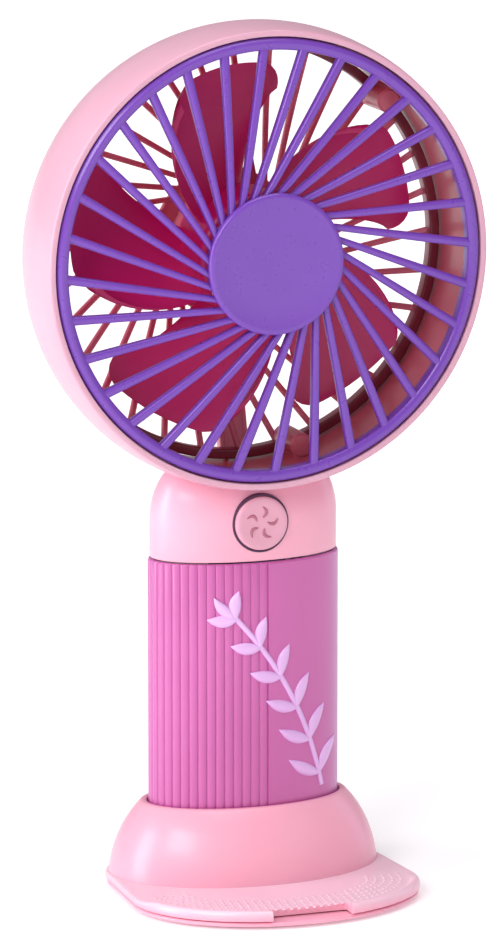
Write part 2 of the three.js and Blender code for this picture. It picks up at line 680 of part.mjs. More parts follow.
function makeCollar() {
  const floor = COLLAR_BOTTOM_Z;
  const slope = [[0, 0], [0, 9], [0.5, 12.4], [1.7, 15.7], [4.1, 19], [8, 21.8]];
  const outer = slope.map(([inward, up]) => [-COLLAR_INSET - inward, floor + up]);
  const axis = -HANDLE_HALF_WIDTH;
  const body = ovalTurned([[axis, floor], ...outer, [axis, outer.at(-1)[1]]]);
  const ceiling = COLLAR_HEIGHT - COLLAR_WALL;
  const hollow = ovalTurned([
    [axis, floor - 1],
    [COLLAR_IN, floor - 1],
    [COLLAR_IN, floor + 9],
    [COLLAR_IN - 0.8, floor + ceiling - 1.4],
    [COLLAR_IN - 2.4, floor + ceiling],
    [axis, floor + ceiling],
  ]);
  const envelope = headEnvelope().translate([0, 0, HEAD_Z]);
  const seat = HEAD_Z - HEAD_RADIUS + NECK_SCREW_SEAT;
  const bosses = neckScrewPlaces().map((x) => rodZ(2.5, seat - 8.4, seat, x, NECK_SCREW_Y));
  const holes = neckScrewPlaces().map((x) =>
    rodZ(SCREW.shank + GAP, seat - 7.6, seat + 9, x, NECK_SCREW_Y),
  );
  const usbZ = BUTTON_Z;
  return cut(
    join(cut(body, hollow), ...bosses.map((boss) => boss.intersect(body))),
    envelope,
    rodY(BUTTON_RADIUS + BEZEL_WIDTH + 2 * GAP, -20, 0, 0, BUTTON_Z, 32),
    block(
      [-USB_HALF_WIDTH - GAP, USB_HALF_WIDTH + GAP],
      [HANDLE_HALF_DEPTH / 2, 20],
      [usbZ - USB_HALF_HEIGHT - GAP, usbZ + USB_HALF_HEIGHT + GAP],
    ),
    leadShaft(),
    ...holes,
  );
}

// The way the motor's leads take down from the rear grille into the collar.
function leadShaft() {
  const y = HEAD_REAR_Y + SHAFT_OFFSET;
  return block(
    [-LEAD_SPACING / 2 - 2 * LEAD_RADIUS, LEAD_SPACING / 2 + 2 * LEAD_RADIUS],
    [y - 3 * LEAD_RADIUS, y + 2 * LEAD_RADIUS],
    [COLLAR_BOTTOM_Z + COLLAR_HEIGHT / 2, HEAD_Z],
  );
}

function swirlArm(angle) {
  const arm = new THREE.Shape();
  arm.moveTo(0.7, -0.3);
  arm.quadraticCurveTo(2.6, -1.1, 3.9, 0.7);
  arm.quadraticCurveTo(2.5, 0.5, 0.9, 0.4);
  const slab = new THREE.ExtrudeGeometry(arm, { depth: 1, bevelEnabled: false, curveSegments: 4 });
  slab.rotateZ(angle).rotateX(Math.PI / 2);
  return solid(slab.translate(0, BUTTON_FRONT_Y + 0.7, BUTTON_Z));
}

function makeButton() {
  const disc = turnedAt(
    [
      [0, BUTTON_FRONT_Y],
      [BUTTON_RADIUS - 0.5, BUTTON_FRONT_Y],
      [BUTTON_RADIUS, BUTTON_FRONT_Y + 0.4],
      [BUTTON_RADIUS, FLANGE_FRONT_Y + 0.1],
      [0, FLANGE_FRONT_Y + 0.1],
    ],
    BUTTON_Z,
    32,
  );
  const flangeBack = FLANGE_FRONT_Y + FLANGE_THICKNESS;
  const flange = cut(
    rodY(BUTTON_RADIUS + FLANGE_WIDTH, FLANGE_FRONT_Y, flangeBack, 0, BUTTON_Z, 32),
    block([-20, 20], [-20, 0], [0, CELL_TOP_Z + 0.5]),
  );
  const arms = Array.from({ length: 5 }, (_, i) => swirlArm((i * 2 * Math.PI) / 5));
  return join(disc, flange, ...arms);
}

function turnedAt(profile, z, segments) {
  return solid(lathe(profile, segments).translate(0, 0, z));
}

function ringAt(inner, outer, y0, y1, z, segments) {
  return turnedAt([[inner, y0], [outer, y0], [outer, y1], [inner, y1]], z, segments);
}

function makeUsbSocket() {
  const back = HANDLE_HALF_DEPTH - COLLAR_INSET - GAP;
  const front = BOARD_FRONT_Y + BOARD_THICKNESS + GAP;
  const low = BUTTON_Z - USB_HALF_HEIGHT;
  const high = BUTTON_Z + USB_HALF_HEIGHT;
  const shell = block([-USB_HALF_WIDTH, USB_HALF_WIDTH], [front, back], [low, high]);
  const wall = 0.35;
  const mouth = block(
    [-USB_HALF_WIDTH + wall, USB_HALF_WIDTH - wall],
    [back - 5, back + 1],
    [low + wall, high - wall],
  );
  const tongue = block([-3.3, 3.3], [back - 5.2, back - 0.8], [BUTTON_Z - 0.35, BUTTON_Z + 0.35]);
  return join(cut(shell, mouth), tongue);
}

function addCollar() {
  const collar = new THREE.Group();
  add(collar, "neck_collar", makeCollar(), PINK);
  const bezelIn = BUTTON_RADIUS + GAP;
  const bezelBack = -HANDLE_HALF_DEPTH - COLLAR_IN;
  add(
    collar,
    "button_bezel",
    ringAt(bezelIn, bezelIn + BEZEL_WIDTH, BUTTON_FRONT_Y + 0.2, bezelBack, BUTTON_Z, 32),
    DARK,
  );
  add(collar, "power_button", makeButton(), PINK);
  const switchFront = SWITCH_BACK_Y - SWITCH_DEPTH;
  const half = SWITCH_SIDE / 2;
  const plungerBack = switchFront + 1.6;
  add(
    collar,
    "tact_switch",
    cut(
      block([-half, half], [switchFront, SWITCH_BACK_Y], [BUTTON_Z - half, BUTTON_Z + half]),
      rodY(PLUNGER_RADIUS + GAP, switchFront - 1, plungerBack + BUTTON_TRAVEL + 0.2, 0, BUTTON_Z),
    ),
    BLACK_PLASTIC,
  );
  const plunger = rodY(PLUNGER_RADIUS, PLUNGER_FRONT_Y, plungerBack, 0, BUTTON_Z);
  add(collar, "switch_plunger", plunger, BLACK_PLASTIC);
  const boardBack = BOARD_FRONT_Y + BOARD_THICKNESS;
  const boardSide = BOARD_WIDTH / 2;
  add(
    collar,
    "control_board",
    block([-boardSide, boardSide], [BOARD_FRONT_Y, boardBack], [BOARD_BOTTOM_Z, BOARD_TOP_Z]),
    BOARD_GREEN,
  );
  add(collar, "usb_socket", makeUsbSocket(), NICKEL);
  neckScrewPlaces().forEach((x, i) => {
    const group = new THREE.Group();
    group.position.set(x, NECK_SCREW_Y, HEAD_Z - HEAD_RADIUS + NECK_SCREW_SEAT + GAP);
    add(group, `neck_screw_${i + 1}`, screw(7), STEEL);
    collar.add(group);
  });
  fan.add(collar);
}

// ---------------------------------------------------------------- head
function headScrewPlaces(outward = 0) {
  return HEAD_SCREW_ANGLES.map((degrees) => {
    const angle = THREE.MathUtils.degToRad(degrees);
    const radius = HEAD_SCREW_RADIUS + outward;
    return [radius * Math.cos(angle), radius * Math.sin(angle)];
  });
}

function makeHeadShell() {
  const rimInner = HEAD_RADIUS - SHELL_RIM;
  const bore = rimInner - SHELL_LEDGE;
  const bossFront = GRILLE_BACK_Y + 8;
  const bossRear = HEAD_REAR_Y - REAR_RING_DEPTH - GAP;
  const shell = turned([
    ...shellSide(0),
    [HEAD_REAR_RADIUS - SHELL_WALL, HEAD_REAR_Y],
    [bore, HEAD_FRONT_Y + HEAD_STRAIGHT],
    [bore, GRILLE_BACK_Y + GAP],
    [rimInner, GRILLE_BACK_Y + GAP],
    [rimInner, HEAD_FRONT_Y],
  ]);
  const hull = turned([
    [0, HEAD_FRONT_Y],
    ...shellSide(-SHELL_WALL / 2),
    [0, HEAD_REAR_Y],
  ]);
  const bosses = [...headScrewPlaces(), ...headScrewPlaces(HEAD_BOSS_RADIUS)].map(([x, z]) =>
    rodY(HEAD_BOSS_RADIUS, bossFront, bossRear, x, z).intersect(hull),
  );
  const holes = headScrewPlaces().map(([x, z]) =>
    rodY(SCREW.shank + GAP, bossFront + 1, bossRear + 1, x, z),
  );
  const seat = -HEAD_RADIUS + NECK_SCREW_SEAT;
  const neckHoles = neckScrewPlaces().flatMap((x) => [
    rodZ(SCREW.shank + GAP, seat - 9, seat + 1, x, NECK_SCREW_Y),
    rodZ(SCREW.head + GAP, seat, seat + 9, x, NECK_SCREW_Y),
  ]);
  return cut(join(shell, ...bosses), ...holes, ...neckHoles);
}

// Straight bars that run from the ring to the hub at a slant, all alike round the axis.
function slantedSpokes({ ringRadius, ringY, hubRadius, hubY, section, twist }) {
  const turn = THREE.MathUtils.degToRad(twist);
  const from = new THREE.Vector2(ringRadius, 0);
  const to = new THREE.Vector2(hubRadius * Math.cos(turn), hubRadius * Math.sin(turn));
  const run = to.clone().sub(from);
  const length = run.length();
  const bar = new THREE.Shape([
    new THREE.Vector2(0, -section.outer / 2),
    new THREE.Vector2(length, -section.inner / 2),
    new THREE.Vector2(length, section.inner / 2),
    new THREE.Vector2(0, section.outer / 2),
  ]);
  const spokes = [];
  for (let i = 0; i < SPOKE_COUNT; i += 1) {
    const spoke = new THREE.ExtrudeGeometry(bar, { depth: section.depth, bevelEnabled: false });
    spoke.translate(0, 0, -section.depth / 2);
    spoke.rotateY(Math.atan2(hubY - ringY, length));
    spoke.rotateZ(run.angle()).translate(from.x, from.y, -ringY);
    spoke.rotateZ((i * 2 * Math.PI) / SPOKE_COUNT + THREE.MathUtils.degToRad(SPOKE_PHASE));
    spokes.push(solid(spoke.rotateX(Math.PI / 2)));
  }
  return spokes;
}

function makeFrontGrille() {
  const ringY = HEAD_FRONT_Y + GRILLE_THICKNESS / 2;
  const plateBack = HEAD_FRONT_Y - FRONT_DISHING + 2.2;
  const ring = turned([
    [GRILLE_INNER_RADIUS, HEAD_FRONT_Y + 0.4],
    [GRILLE_INNER_RADIUS + 0.6, HEAD_FRONT_Y - 0.3],
    [GRILLE_RADIUS - 0.6, HEAD_FRONT_Y - 0.3],
    [GRILLE_RADIUS, HEAD_FRONT_Y + 0.3],
    [GRILLE_RADIUS, GRILLE_BACK_Y],
    [GRILLE_INNER_RADIUS, GRILLE_BACK_Y],
  ]);
  const plate = rodY(HUB_RADIUS - 0.4, HEAD_FRONT_Y - FRONT_DISHING, plateBack, 0, 0, BIG);
  const spokes = slantedSpokes({
    ringRadius: GRILLE_RADIUS - 1,
    ringY,
    hubRadius: HUB_RADIUS - 2,
    hubY: plateBack - FRONT_SPOKE.depth / 2,
    section: FRONT_SPOKE,
    twist: SPOKE_TWIST,
  });
  return join(ring, plate, ...spokes);
}

function makeBadge() {
  const back = HEAD_FRONT_Y - FRONT_DISHING - GAP;
  const front = back - BADGE_THICKNESS;
  const edge = HUB_RADIUS;
  return turned([[0, front], [edge - 0.5, front], [edge, front + 0.5], [edge, back], [0, back]]);
}

// Bar of the lead channel, from the rear hub down to the ring, between two depths behind its front.
function channelBar([x0, x1], [front, back], [top, bottom]) {
  const slope = REAR_DISHING / (REAR_GRILLE_RADIUS - REAR_HUB_RADIUS);
  const face = (z) => HEAD_REAR_Y - 1 + (REAR_GRILLE_RADIUS + z) * slope;
  const outline = new THREE.Shape([
    new THREE.Vector2(face(top) + front, top),
    new THREE.Vector2(face(bottom) + front, bottom),
    new THREE.Vector2(face(bottom) + back, bottom),
    new THREE.Vector2(face(top) + back, top),
  ]);
  const slab = new THREE.ExtrudeGeometry(outline, { depth: x1 - x0, bevelEnabled: false });
  slab.applyMatrix4(new THREE.Matrix4().set(0, 0, 1, x0, 1, 0, 0, 0, 0, 1, 0, 0, 0, 0, 0, 1));
  return solid(slab);
}

// U-shaped channel, open to the front.
function makeLeadChannel() {
  const half = CHANNEL_WIDTH / 2;
  const inside = half - CHANNEL_WALL;
  const span = [-REAR_CAP_RADIUS - GAP - 0.1, -REAR_GRILLE_RADIUS + 1];
  const floorSpan = [span[0], span[1] + 4.6];
  return join(
    channelBar([-half, -inside], [0, CHANNEL_DEPTH], span),
    channelBar([inside, half], [0, CHANNEL_DEPTH], span),
    channelBar([-half, half], [CHANNEL_DEPTH - CHANNEL_FLOOR, CHANNEL_DEPTH], floorSpan),
  );
}

// What the channel and the way out of the motor's cup leave clear for the leads.
function leadWay() {
  const inside = CHANNEL_WIDTH / 2 - CHANNEL_WALL;
  const plateFront = REAR_HUB_Y - REAR_HUB_THICKNESS;
  return join(
    channelBar(
      [-inside, inside],
      [-9, CHANNEL_DEPTH - CHANNEL_FLOOR],
      [-REAR_HUB_RADIUS, -REAR_GRILLE_RADIUS + REAR_RING_WIDTH],
    ),
    block([-inside, inside], [HEAD_REAR_Y, plateFront], [-REAR_HUB_RADIUS - 1, -MOTOR_RADIUS]),
  );
}

function makeRearGrille() {
  const ringFront = HEAD_REAR_Y - REAR_RING_DEPTH;
  const inner = REAR_GRILLE_RADIUS - REAR_RING_WIDTH;
  const ring = turned([
    [inner, ringFront],
    [REAR_GRILLE_RADIUS, ringFront],
    [REAR_GRILLE_RADIUS, HEAD_REAR_Y],
    [inner, HEAD_REAR_Y + 0.3],
  ]);
  const lugs = headScrewPlaces().map(([x, z]) =>
    rodY(HEAD_BOSS_RADIUS, ringFront, HEAD_REAR_Y, x, z).intersect(
      rodY(REAR_GRILLE_RADIUS, ringFront - 1, HEAD_REAR_Y + 1, 0, 0, BIG),
    ),
  );
  const holes = headScrewPlaces().flatMap(([x, z]) => [
    rodY(SCREW.shank + GAP, ringFront - 1, HEAD_REAR_Y + 1, x, z),
    rodY(SCREW.head + 0.2, HEAD_REAR_Y - 1.4, HEAD_REAR_Y + 3, x, z),
  ]);
  const plate = rodY(REAR_HUB_RADIUS, REAR_HUB_Y - REAR_HUB_THICKNESS, REAR_HUB_Y, 0, 0, 32);
  const cupFront = IMPELLER_REAR_Y + 1.5;
  const cup = cut(
    rodY(MOTOR_RADIUS + GAP + 1.5, cupFront, REAR_HUB_Y - 0.2, 0, 0, 32),
    rodY(MOTOR_RADIUS + GAP, cupFront - 1, REAR_HUB_Y - REAR_HUB_THICKNESS, 0, 0, 32),
  );
  const spokes = slantedSpokes({
    ringRadius: REAR_GRILLE_RADIUS - 1,
    ringY: HEAD_REAR_Y - 0.7,
    hubRadius: REAR_HUB_RADIUS - 1.4,
    hubY: REAR_HUB_Y - REAR_HUB_THICKNESS / 2,
    section: REAR_SPOKE,
    twist: -SPOKE_TWIST,
  });
  return cut(join(ring, plate, cup, ...lugs, ...spokes, makeLeadChannel()), leadWay(), ...holes);
}

function makeRearCap() {
  const front = REAR_HUB_Y + GAP;
  const back = front + REAR_HUB_THICKNESS;
  const edge = REAR_CAP_RADIUS;
  return turned([[0, front], [edge, front], [edge, back - 0.7], [edge - 1, back], [0, back]]);
}

// Leads from the motor's end bell, down the channel and into the collar.
function makeMotorLead(side) {
  const x = (side * LEAD_SPACING) / 2;
  const slope = REAR_DISHING / (REAR_GRILLE_RADIUS - REAR_HUB_RADIUS);
  const behindFace = CHANNEL_DEPTH - CHANNEL_FLOOR - LEAD_RADIUS - GAP;
  const inChannel = (z) => HEAD_REAR_Y - 1 + (REAR_GRILLE_RADIUS + z) * slope + behindFace;
  const cupY = REAR_HUB_Y - REAR_HUB_THICKNESS - LEAD_RADIUS - GAP;
  const shaftY = HEAD_REAR_Y + SHAFT_OFFSET;
  const ceiling = COLLAR_BOTTOM_Z + COLLAR_HEIGHT - COLLAR_WALL - HEAD_Z;
  return lead([
    [x, cupY - 0.4, -MOTOR_RADIUS - 2 * GAP],
    [x, cupY - 0.1, -REAR_HUB_RADIUS],
    [x, inChannel(-25), -25],
    [x, inChannel(-33), -33],
    [x, shaftY, -REAR_GRILLE_RADIUS + 6],
    [x, shaftY, -REAR_GRILLE_RADIUS],
    [x, shaftY, ceiling + 2],
    [x, shaftY, ceiling],
    [x, shaftY - 3, BOARD_TOP_Z - HEAD_Z],
  ]);
}

// ---------------------------------------------------------------- impeller and motor
// Blade surface at chord u (-1 trailing to 1 leading) and span v (0 root to 1 tip).
function bladePoint(u, v, lift) {
  const root = IMPELLER_HUB_RADIUS - 0.7;
  const corner = Math.max(0, (Math.abs(u) - 0.65) / 0.35);
  const tip = BLADE_TIP_RADIUS - BLADE_CORNER * (1 - Math.sqrt(1 - corner ** 2));
  const radius = root + (tip - root) * v;
  const half = BLADE_ROOT_HALF + (BLADE_TIP_HALF - BLADE_ROOT_HALF) * v;
  const middle = BLADE_TIP_ANGLE + BLADE_SWEEP * (1 - v) ** 0.8;
  const angle = THREE.MathUtils.degToRad(middle + half * u);
  const camber = 0.8 * (1 - u * u);
  const depth = BLADE_HALF_DEPTH * (0.86 + 0.14 * v);
  const y = BLADE_MID_Y - depth * u + camber + lift;
  return new THREE.Vector3(radius * Math.cos(angle), y, radius * Math.sin(angle));
}

function makeBlade() {
  const spans = [0, 0.2, 0.4, 0.6, 0.8, 1];
  const chords = [-1, -0.95, -0.82, -0.6, 0, 0.6, 0.82, 0.95, 1];
  const grid = (lift) => spans.map((v) => chords.map((u) => bladePoint(u, v, lift)));
  return sheetSolid(grid(-BLADE_THICKNESS / 2), grid(BLADE_THICKNESS / 2));
}

function makeImpeller() {
  const outer = IMPELLER_HUB_RADIUS;
  const inner = outer - IMPELLER_HUB_WALL;
  const floor = IMPELLER_FRONT_Y + IMPELLER_HUB_WALL;
  const bossRear = MOTOR_FRONT_Y - 2 * GAP;
  const hub = turned(
    [
      [0, IMPELLER_FRONT_Y],
      [outer - 1.5, IMPELLER_FRONT_Y],
      [outer, IMPELLER_FRONT_Y + 1.5],
      [outer, IMPELLER_REAR_Y],
      [inner, IMPELLER_REAR_Y],
      [inner, floor],
      [2.6, floor],
      [2.6, bossRear],
      [0, bossRear],
    ],
    BIG,
  );
  const bore = rodY(SHAFT_RADIUS + RUN, IMPELLER_FRONT_Y + 1, 0);
  const blade = makeBlade();
  const blades = Array.from({ length: BLADE_COUNT }, (_, i) =>
    blade.rotate([0, -(i * 360) / BLADE_COUNT, 0]),
  );
  return cut(join(hub, ...blades), bore);
}

function addMotor(head) {
  const canInner = MOTOR_RADIUS - MOTOR_WALL;
  const bushHole = BUSH_RADIUS + GAP;
  const can = turned(
    [
      [bushHole, MOTOR_FRONT_Y],
      [MOTOR_RADIUS, MOTOR_FRONT_Y],
      [MOTOR_RADIUS, MOTOR_REAR_Y],
      [canInner, MOTOR_REAR_Y],
      [canInner, MOTOR_FRONT_Y + MOTOR_WALL],
      [bushHole, MOTOR_FRONT_Y + MOTOR_WALL],
    ],
    20,
  );
  add(head, "motor_can", can, STEEL);
  const magnetOut = canInner - GAP;
  const magnetIn = magnetOut - MAGNET_THICKNESS;
  const magnetFront = MOTOR_FRONT_Y + MOTOR_WALL + 1.5;
  const magnetRear = MOTOR_REAR_Y - 2.5;
  add(head, "motor_magnet_ring", ringAt(magnetIn, magnetOut, magnetFront, magnetRear, 0, 20), MAGNET);
  const bellFront = MOTOR_REAR_Y + GAP;
  const bellRear = bellFront + BELL_THICKNESS;
  add(head, "motor_end_bell", ringAt(bushHole, MOTOR_RADIUS, bellFront, bellRear, 0, 20), BLACK_PLASTIC);
  const bushIn = SHAFT_RADIUS + RUN;
  const frontBush = MOTOR_FRONT_Y - 0.2;
  const rearBush = bellRear - BUSH_LENGTH;
  add(head, "motor_bush_front", ringAt(bushIn, BUSH_RADIUS, frontBush, frontBush + BUSH_LENGTH, 0, 12), BRONZE);
  add(head, "motor_bush_rear", ringAt(bushIn, BUSH_RADIUS, rearBush, bellRear, 0, 12), BRONZE);
  add(head, "motor_shaft", rodY(SHAFT_RADIUS, IMPELLER_FRONT_Y + 1 + GAP, bellRear - GAP), STEEL);
  const coreRadius = magnetIn - 0.5;
  const coreIn = SHAFT_RADIUS + RUN;
  const armature = cut(
    ringAt(coreIn, coreRadius, magnetFront + 0.5, magnetRear - 2.5, 0, 20),
    ...[90, 210, 330].map((degrees) => {
      const slot = new THREE.BoxGeometry(coreRadius, 99, 1.6);
      slot.translate(coreRadius / 2 + 3.2, 0, 0);
      return solid(slot.rotateY(THREE.MathUtils.degToRad(degrees)));
    }),
  );
  add(head, "motor_armature", armature, COPPER);
  const commutatorFront = magnetRear - 2.5 + GAP;
  const commutatorRear = rearBush - GAP;
  add(head, "motor_commutator", ringAt(coreIn, 2.6, commutatorFront, commutatorRear, 0, 12), COPPER);
  add(head, "motor_lead_red", makeMotorLead(-1), LEAD_RED);
  add(head, "motor_lead_black", makeMotorLead(1), LEAD_BLACK);
}

function addHead() {
  const head = new THREE.Group();
  head.position.z = HEAD_Z;
  add(head, "head_shell", makeHeadShell(), PINK);
  add(head, "front_grille", makeFrontGrille(), PURPLE);
  add(head, "grille_badge", makeBadge(), PURPLE);
  add(head, "rear_grille", makeRearGrille(), PINK);
  add(head, "rear_hub_cap", makeRearCap(), PINK);
  add(head, "impeller", makeImpeller(), CRIMSON);
  headScrewPlaces().forEach(([x, z], i) => {
    const group = new THREE.Group();
    group.position.set(x, HEAD_REAR_Y - 1.4 + GAP, z);
    group.rotation.x = -Math.PI / 2;
    add(group, `grille_screw_${i + 1}`, screw(7), STEEL);
    head.add(group);
  });
  addMotor(head);
  fan.add(head);
}

addStand();
addHandle();
addCollar();
addHead();

export default fan;
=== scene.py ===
"""Looks of the hand-held fan in its cap-shaped stand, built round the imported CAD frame."""

import json
import math

import bmesh
import bpy
import numpy as np
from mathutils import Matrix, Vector


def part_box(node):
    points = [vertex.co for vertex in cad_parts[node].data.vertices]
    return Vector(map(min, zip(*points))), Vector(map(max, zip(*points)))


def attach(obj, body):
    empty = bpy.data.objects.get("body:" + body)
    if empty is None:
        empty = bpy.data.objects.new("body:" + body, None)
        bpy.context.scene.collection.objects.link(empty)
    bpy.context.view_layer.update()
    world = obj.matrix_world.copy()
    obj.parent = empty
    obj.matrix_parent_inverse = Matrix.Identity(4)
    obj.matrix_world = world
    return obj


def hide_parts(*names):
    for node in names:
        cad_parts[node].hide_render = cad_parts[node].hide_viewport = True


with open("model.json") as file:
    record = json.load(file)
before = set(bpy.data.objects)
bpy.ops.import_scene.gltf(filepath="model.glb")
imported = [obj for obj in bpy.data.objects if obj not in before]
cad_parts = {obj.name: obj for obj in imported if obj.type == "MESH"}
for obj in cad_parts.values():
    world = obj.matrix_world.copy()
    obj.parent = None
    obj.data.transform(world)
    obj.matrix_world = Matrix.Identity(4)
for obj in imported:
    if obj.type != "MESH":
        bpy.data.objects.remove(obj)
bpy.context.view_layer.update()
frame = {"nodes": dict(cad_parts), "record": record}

MM = 0.001
GAP = 0.3  # between pieces that touch


# ------------------------------------------------------------------ places, in millimetres, from the frame
def box_mm(node):
    low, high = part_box(node)
    return [v / MM for v in low], [v / MM for v in high]


shell_low, shell_high = box_mm("head_shell")
HEAD_Z = (shell_low[2] + shell_high[2]) / 2
HEAD_R = (shell_high[0] - shell_low[0]) / 2
HEAD_FRONT = shell_low[1]
HEAD_REAR = shell_high[1]
grille_low, grille_high = box_mm("front_grille")
GRILLE_R = (grille_high[0] - grille_low[0]) / 2
GRILLE_BACK = grille_high[1]
badge_low, badge_high = box_mm("grille_badge")
HUB_R = (badge_high[0] - badge_low[0]) / 2
rear_low, rear_high = box_mm("rear_grille")
REAR_R = (rear_high[0] - rear_low[0]) / 2
rear_cap_low, rear_cap_high = box_mm("rear_hub_cap")
REAR_CAP_R = (rear_cap_high[0] - rear_cap_low[0]) / 2
REAR_HUB_Y = rear_cap_low[1] - GAP
sleeve_low, sleeve_high = box_mm("handle_sleeve")
HALF_WIDTH = (sleeve_high[0] - sleeve_low[0]) / 2
HALF_DEPTH = (sleeve_high[1] - sleeve_low[1]) / 2
SLEEVE_BOTTOM = sleeve_low[2]
SLEEVE_TOP = sleeve_high[2]
SLEEVE_LENGTH = SLEEVE_TOP - SLEEVE_BOTTOM
COLLAR_BOTTOM = box_mm("neck_collar")[0][2]
button_low, button_high = box_mm("power_button")
plunger_low, plunger_high = box_mm("switch_plunger")
BUTTON_Z = (plunger_low[2] + plunger_high[2]) / 2
BUTTON_FRONT = button_low[1]
bezel_low, bezel_high = box_mm("button_bezel")
BEZEL_R = (bezel_high[0] - bezel_low[0]) / 2
cap_low, cap_high = box_mm("stand_cap")
CAP_BOTTOM = cap_low[2]
DOME_TOP = cap_high[2]
BRIM_HALF_WIDTH = (cap_high[0] - cap_low[0]) / 2
PLATE_BOTTOM = box_mm("stand_base_plate")[0][2]
pad_low, pad_high = box_mm("stand_foot_pad")
usb_high = box_mm("usb_socket")[1]
impeller_low, impeller_high = box_mm("impeller")

# design values that the frame does not hold by themselves
AXIS = 0.01  # radius at which a turned body closes on its axis
SPOKES = 32
SPOKE_TWIST = 31
SPOKE_PHASE = 1.3
RING_WIDTH = 2.6
FRONT_DISHING = 2.6
SHELL_WALL = 1.4
SHELL_RIM = 2.2
SHELL_LEDGE = 1.3
HEAD_STRAIGHT = 9
REAR_RADIUS = 47.8
REAR_RING_WIDTH = 2.2
REAR_HUB_R = 16
GRILLE_SCREWS = (45, 165, 285)  # degrees round the head
BLADES = 5
BLADE_ROOT_HALF = 31  # half of a blade's angle at its root, in degrees
BLADE_TIP_HALF = 21
BLADE_TIP_ANGLE = 23.5
BLADE_SWEEP = 23
BLADE_TIP = 39.8
BLADE_CORNER = 5
BLADE_PITCH = 5.2
BLADE_HALF_THICKNESS = 0.65
IMPELLER_HUB = 13.6
COLLAR_INSET = 0.4  # of the collar from the sleeve's outside
BUTTON_FLANGE = 6.6
SWIRL_ARMS = 5
DOME_FLARE = 9
DOME_LEDGE = 0.4
DOME_RIM = 1.6
SOCKET_PLAY = 0.4
SOCKET_FLOOR = 6.3
BRIM_TOP = 3.4
BRIM_LIP = 0.7
BRIM_CENTRE = -20
BRIM_LENGTH = 24
NOTCH_WIDTH = 18
NOTCH_DEPTH = 5
FLUTES = 55
FLUTE_DEPTH = 0.35
PANEL = (0.755, 0.99)  # the smooth stretch, as shares of the way round


# ------------------------------------------------------------------ materials
def new_material(name):
    material = bpy.data.materials.new(name)
    material.use_nodes = True
    nodes = material.node_tree.nodes
    return material, nodes, material.node_tree.links, nodes["Principled BSDF"]


def noise(nodes, links, scale, detail):
    place = nodes.new("ShaderNodeTexCoord")
    texture = nodes.new("ShaderNodeTexNoise")
    texture.inputs["Scale"].default_value = scale
    texture.inputs["Detail"].default_value = detail
    links.new(place.outputs["Object"], texture.inputs["Vector"])
    return texture.outputs["Fac"]


def ramp(nodes, links, factor, low, high):
    colour = nodes.new("ShaderNodeValToRGB")
    colour.color_ramp.elements[0].position = 0.3
    colour.color_ramp.elements[1].position = 0.7
    colour.color_ramp.elements[0].color = (*low, 1)
    colour.color_ramp.elements[1].color = (*high, 1)
    links.new(factor, colour.inputs["Fac"])
    return colour.outputs["Color"]


def span(nodes, links, factor, low, high):
    between = nodes.new("ShaderNodeMapRange")
    between.inputs["To Min"].default_value = low
    between.inputs["To Max"].default_value = high
    links.new(factor, between.inputs["Value"])
    return between.outputs["Result"]


def bump(nodes, links, shader, height, distance):
    node = nodes.new("ShaderNodeBump")
    node.inputs["Distance"].default_value = distance
    node.inputs["Strength"].default_value = 0.35
    links.new(height, node.inputs["Height"])
    links.new(node.outputs["Normal"], shader.inputs["Normal"])


def moulded(name, low, high, roughness, coat=0.0, soft=0.0, relief=0.00002):
    """Injection-moulded plastic: faint colour drift, slightly uneven gloss and a fine mould grain."""
    material, nodes, links, shader = new_material(name)
    drift = noise(nodes, links, 38, 2)
    links.new(ramp(nodes, links, drift, low, high), shader.inputs["Base Color"])
    links.new(span(nodes, links, noise(nodes, links, 600, 2), *roughness), shader.inputs["Roughness"])
    bump(nodes, links, shader, noise(nodes, links, 2600, 2), relief)
    shader.inputs["Coat Weight"].default_value = coat
    shader.inputs["Coat Roughness"].default_value = 0.12
    shader.inputs["Subsurface Weight"].default_value = soft
    shader.inputs["Subsurface Scale"].default_value = 0.003
    shader.inputs["Subsurface Radius"].default_value = (1.0, 0.45, 0.5)
    return material


def worn_metal(name, low, high, roughness=(0.25, 0.45), stretch=(1, 1, 1)):
    """Bare metal with fine marks, which stretch can draw out along an axis."""
    material, nodes, links, shader = new_material(name)
    place = nodes.new("ShaderNodeTexCoord")
    mapping = nodes.new("ShaderNodeMapping")
    mapping.inputs["Scale"].default_value = stretch
    links.new(place.outputs["Object"], mapping.inputs["Vector"])
    texture = nodes.new("ShaderNodeTexNoise")
    texture.inputs["Scale"].default_value = 900
    texture.inputs["Detail"].default_value = 4
    links.new(mapping.outputs["Vector"], texture.inputs["Vector"])
    links.new(ramp(nodes, links, texture.outputs["Fac"], low, high), shader.inputs["Base Color"])
    rough = span(nodes, links, texture.outputs["Fac"], *roughness)
    links.new(rough, shader.inputs["Roughness"])
    shader.inputs["Metallic"].default_value = 1.0
    return material


def paint_light_and_shade(material, share, low, high):
    """Paints light or shade: mixes a second, drifting colour under the material's own one, by a share from 0
    to 1.
    """
    nodes, links = material.node_tree.nodes, material.node_tree.links
    shader = nodes["Principled BSDF"]
    own = shader.inputs["Base Color"].links[0].from_socket
    other = ramp(nodes, links, noise(nodes, links, 60, 3), low, high)
    mix = nodes.new("ShaderNodeMix")
    mix.data_type = "RGBA"
    links.new(share, mix.inputs["Factor"])
    links.new(other, mix.inputs["A"])
    links.new(own, mix.inputs["B"])
    links.new(mix.outputs["Result"], shader.inputs["Base Color"])
    return material


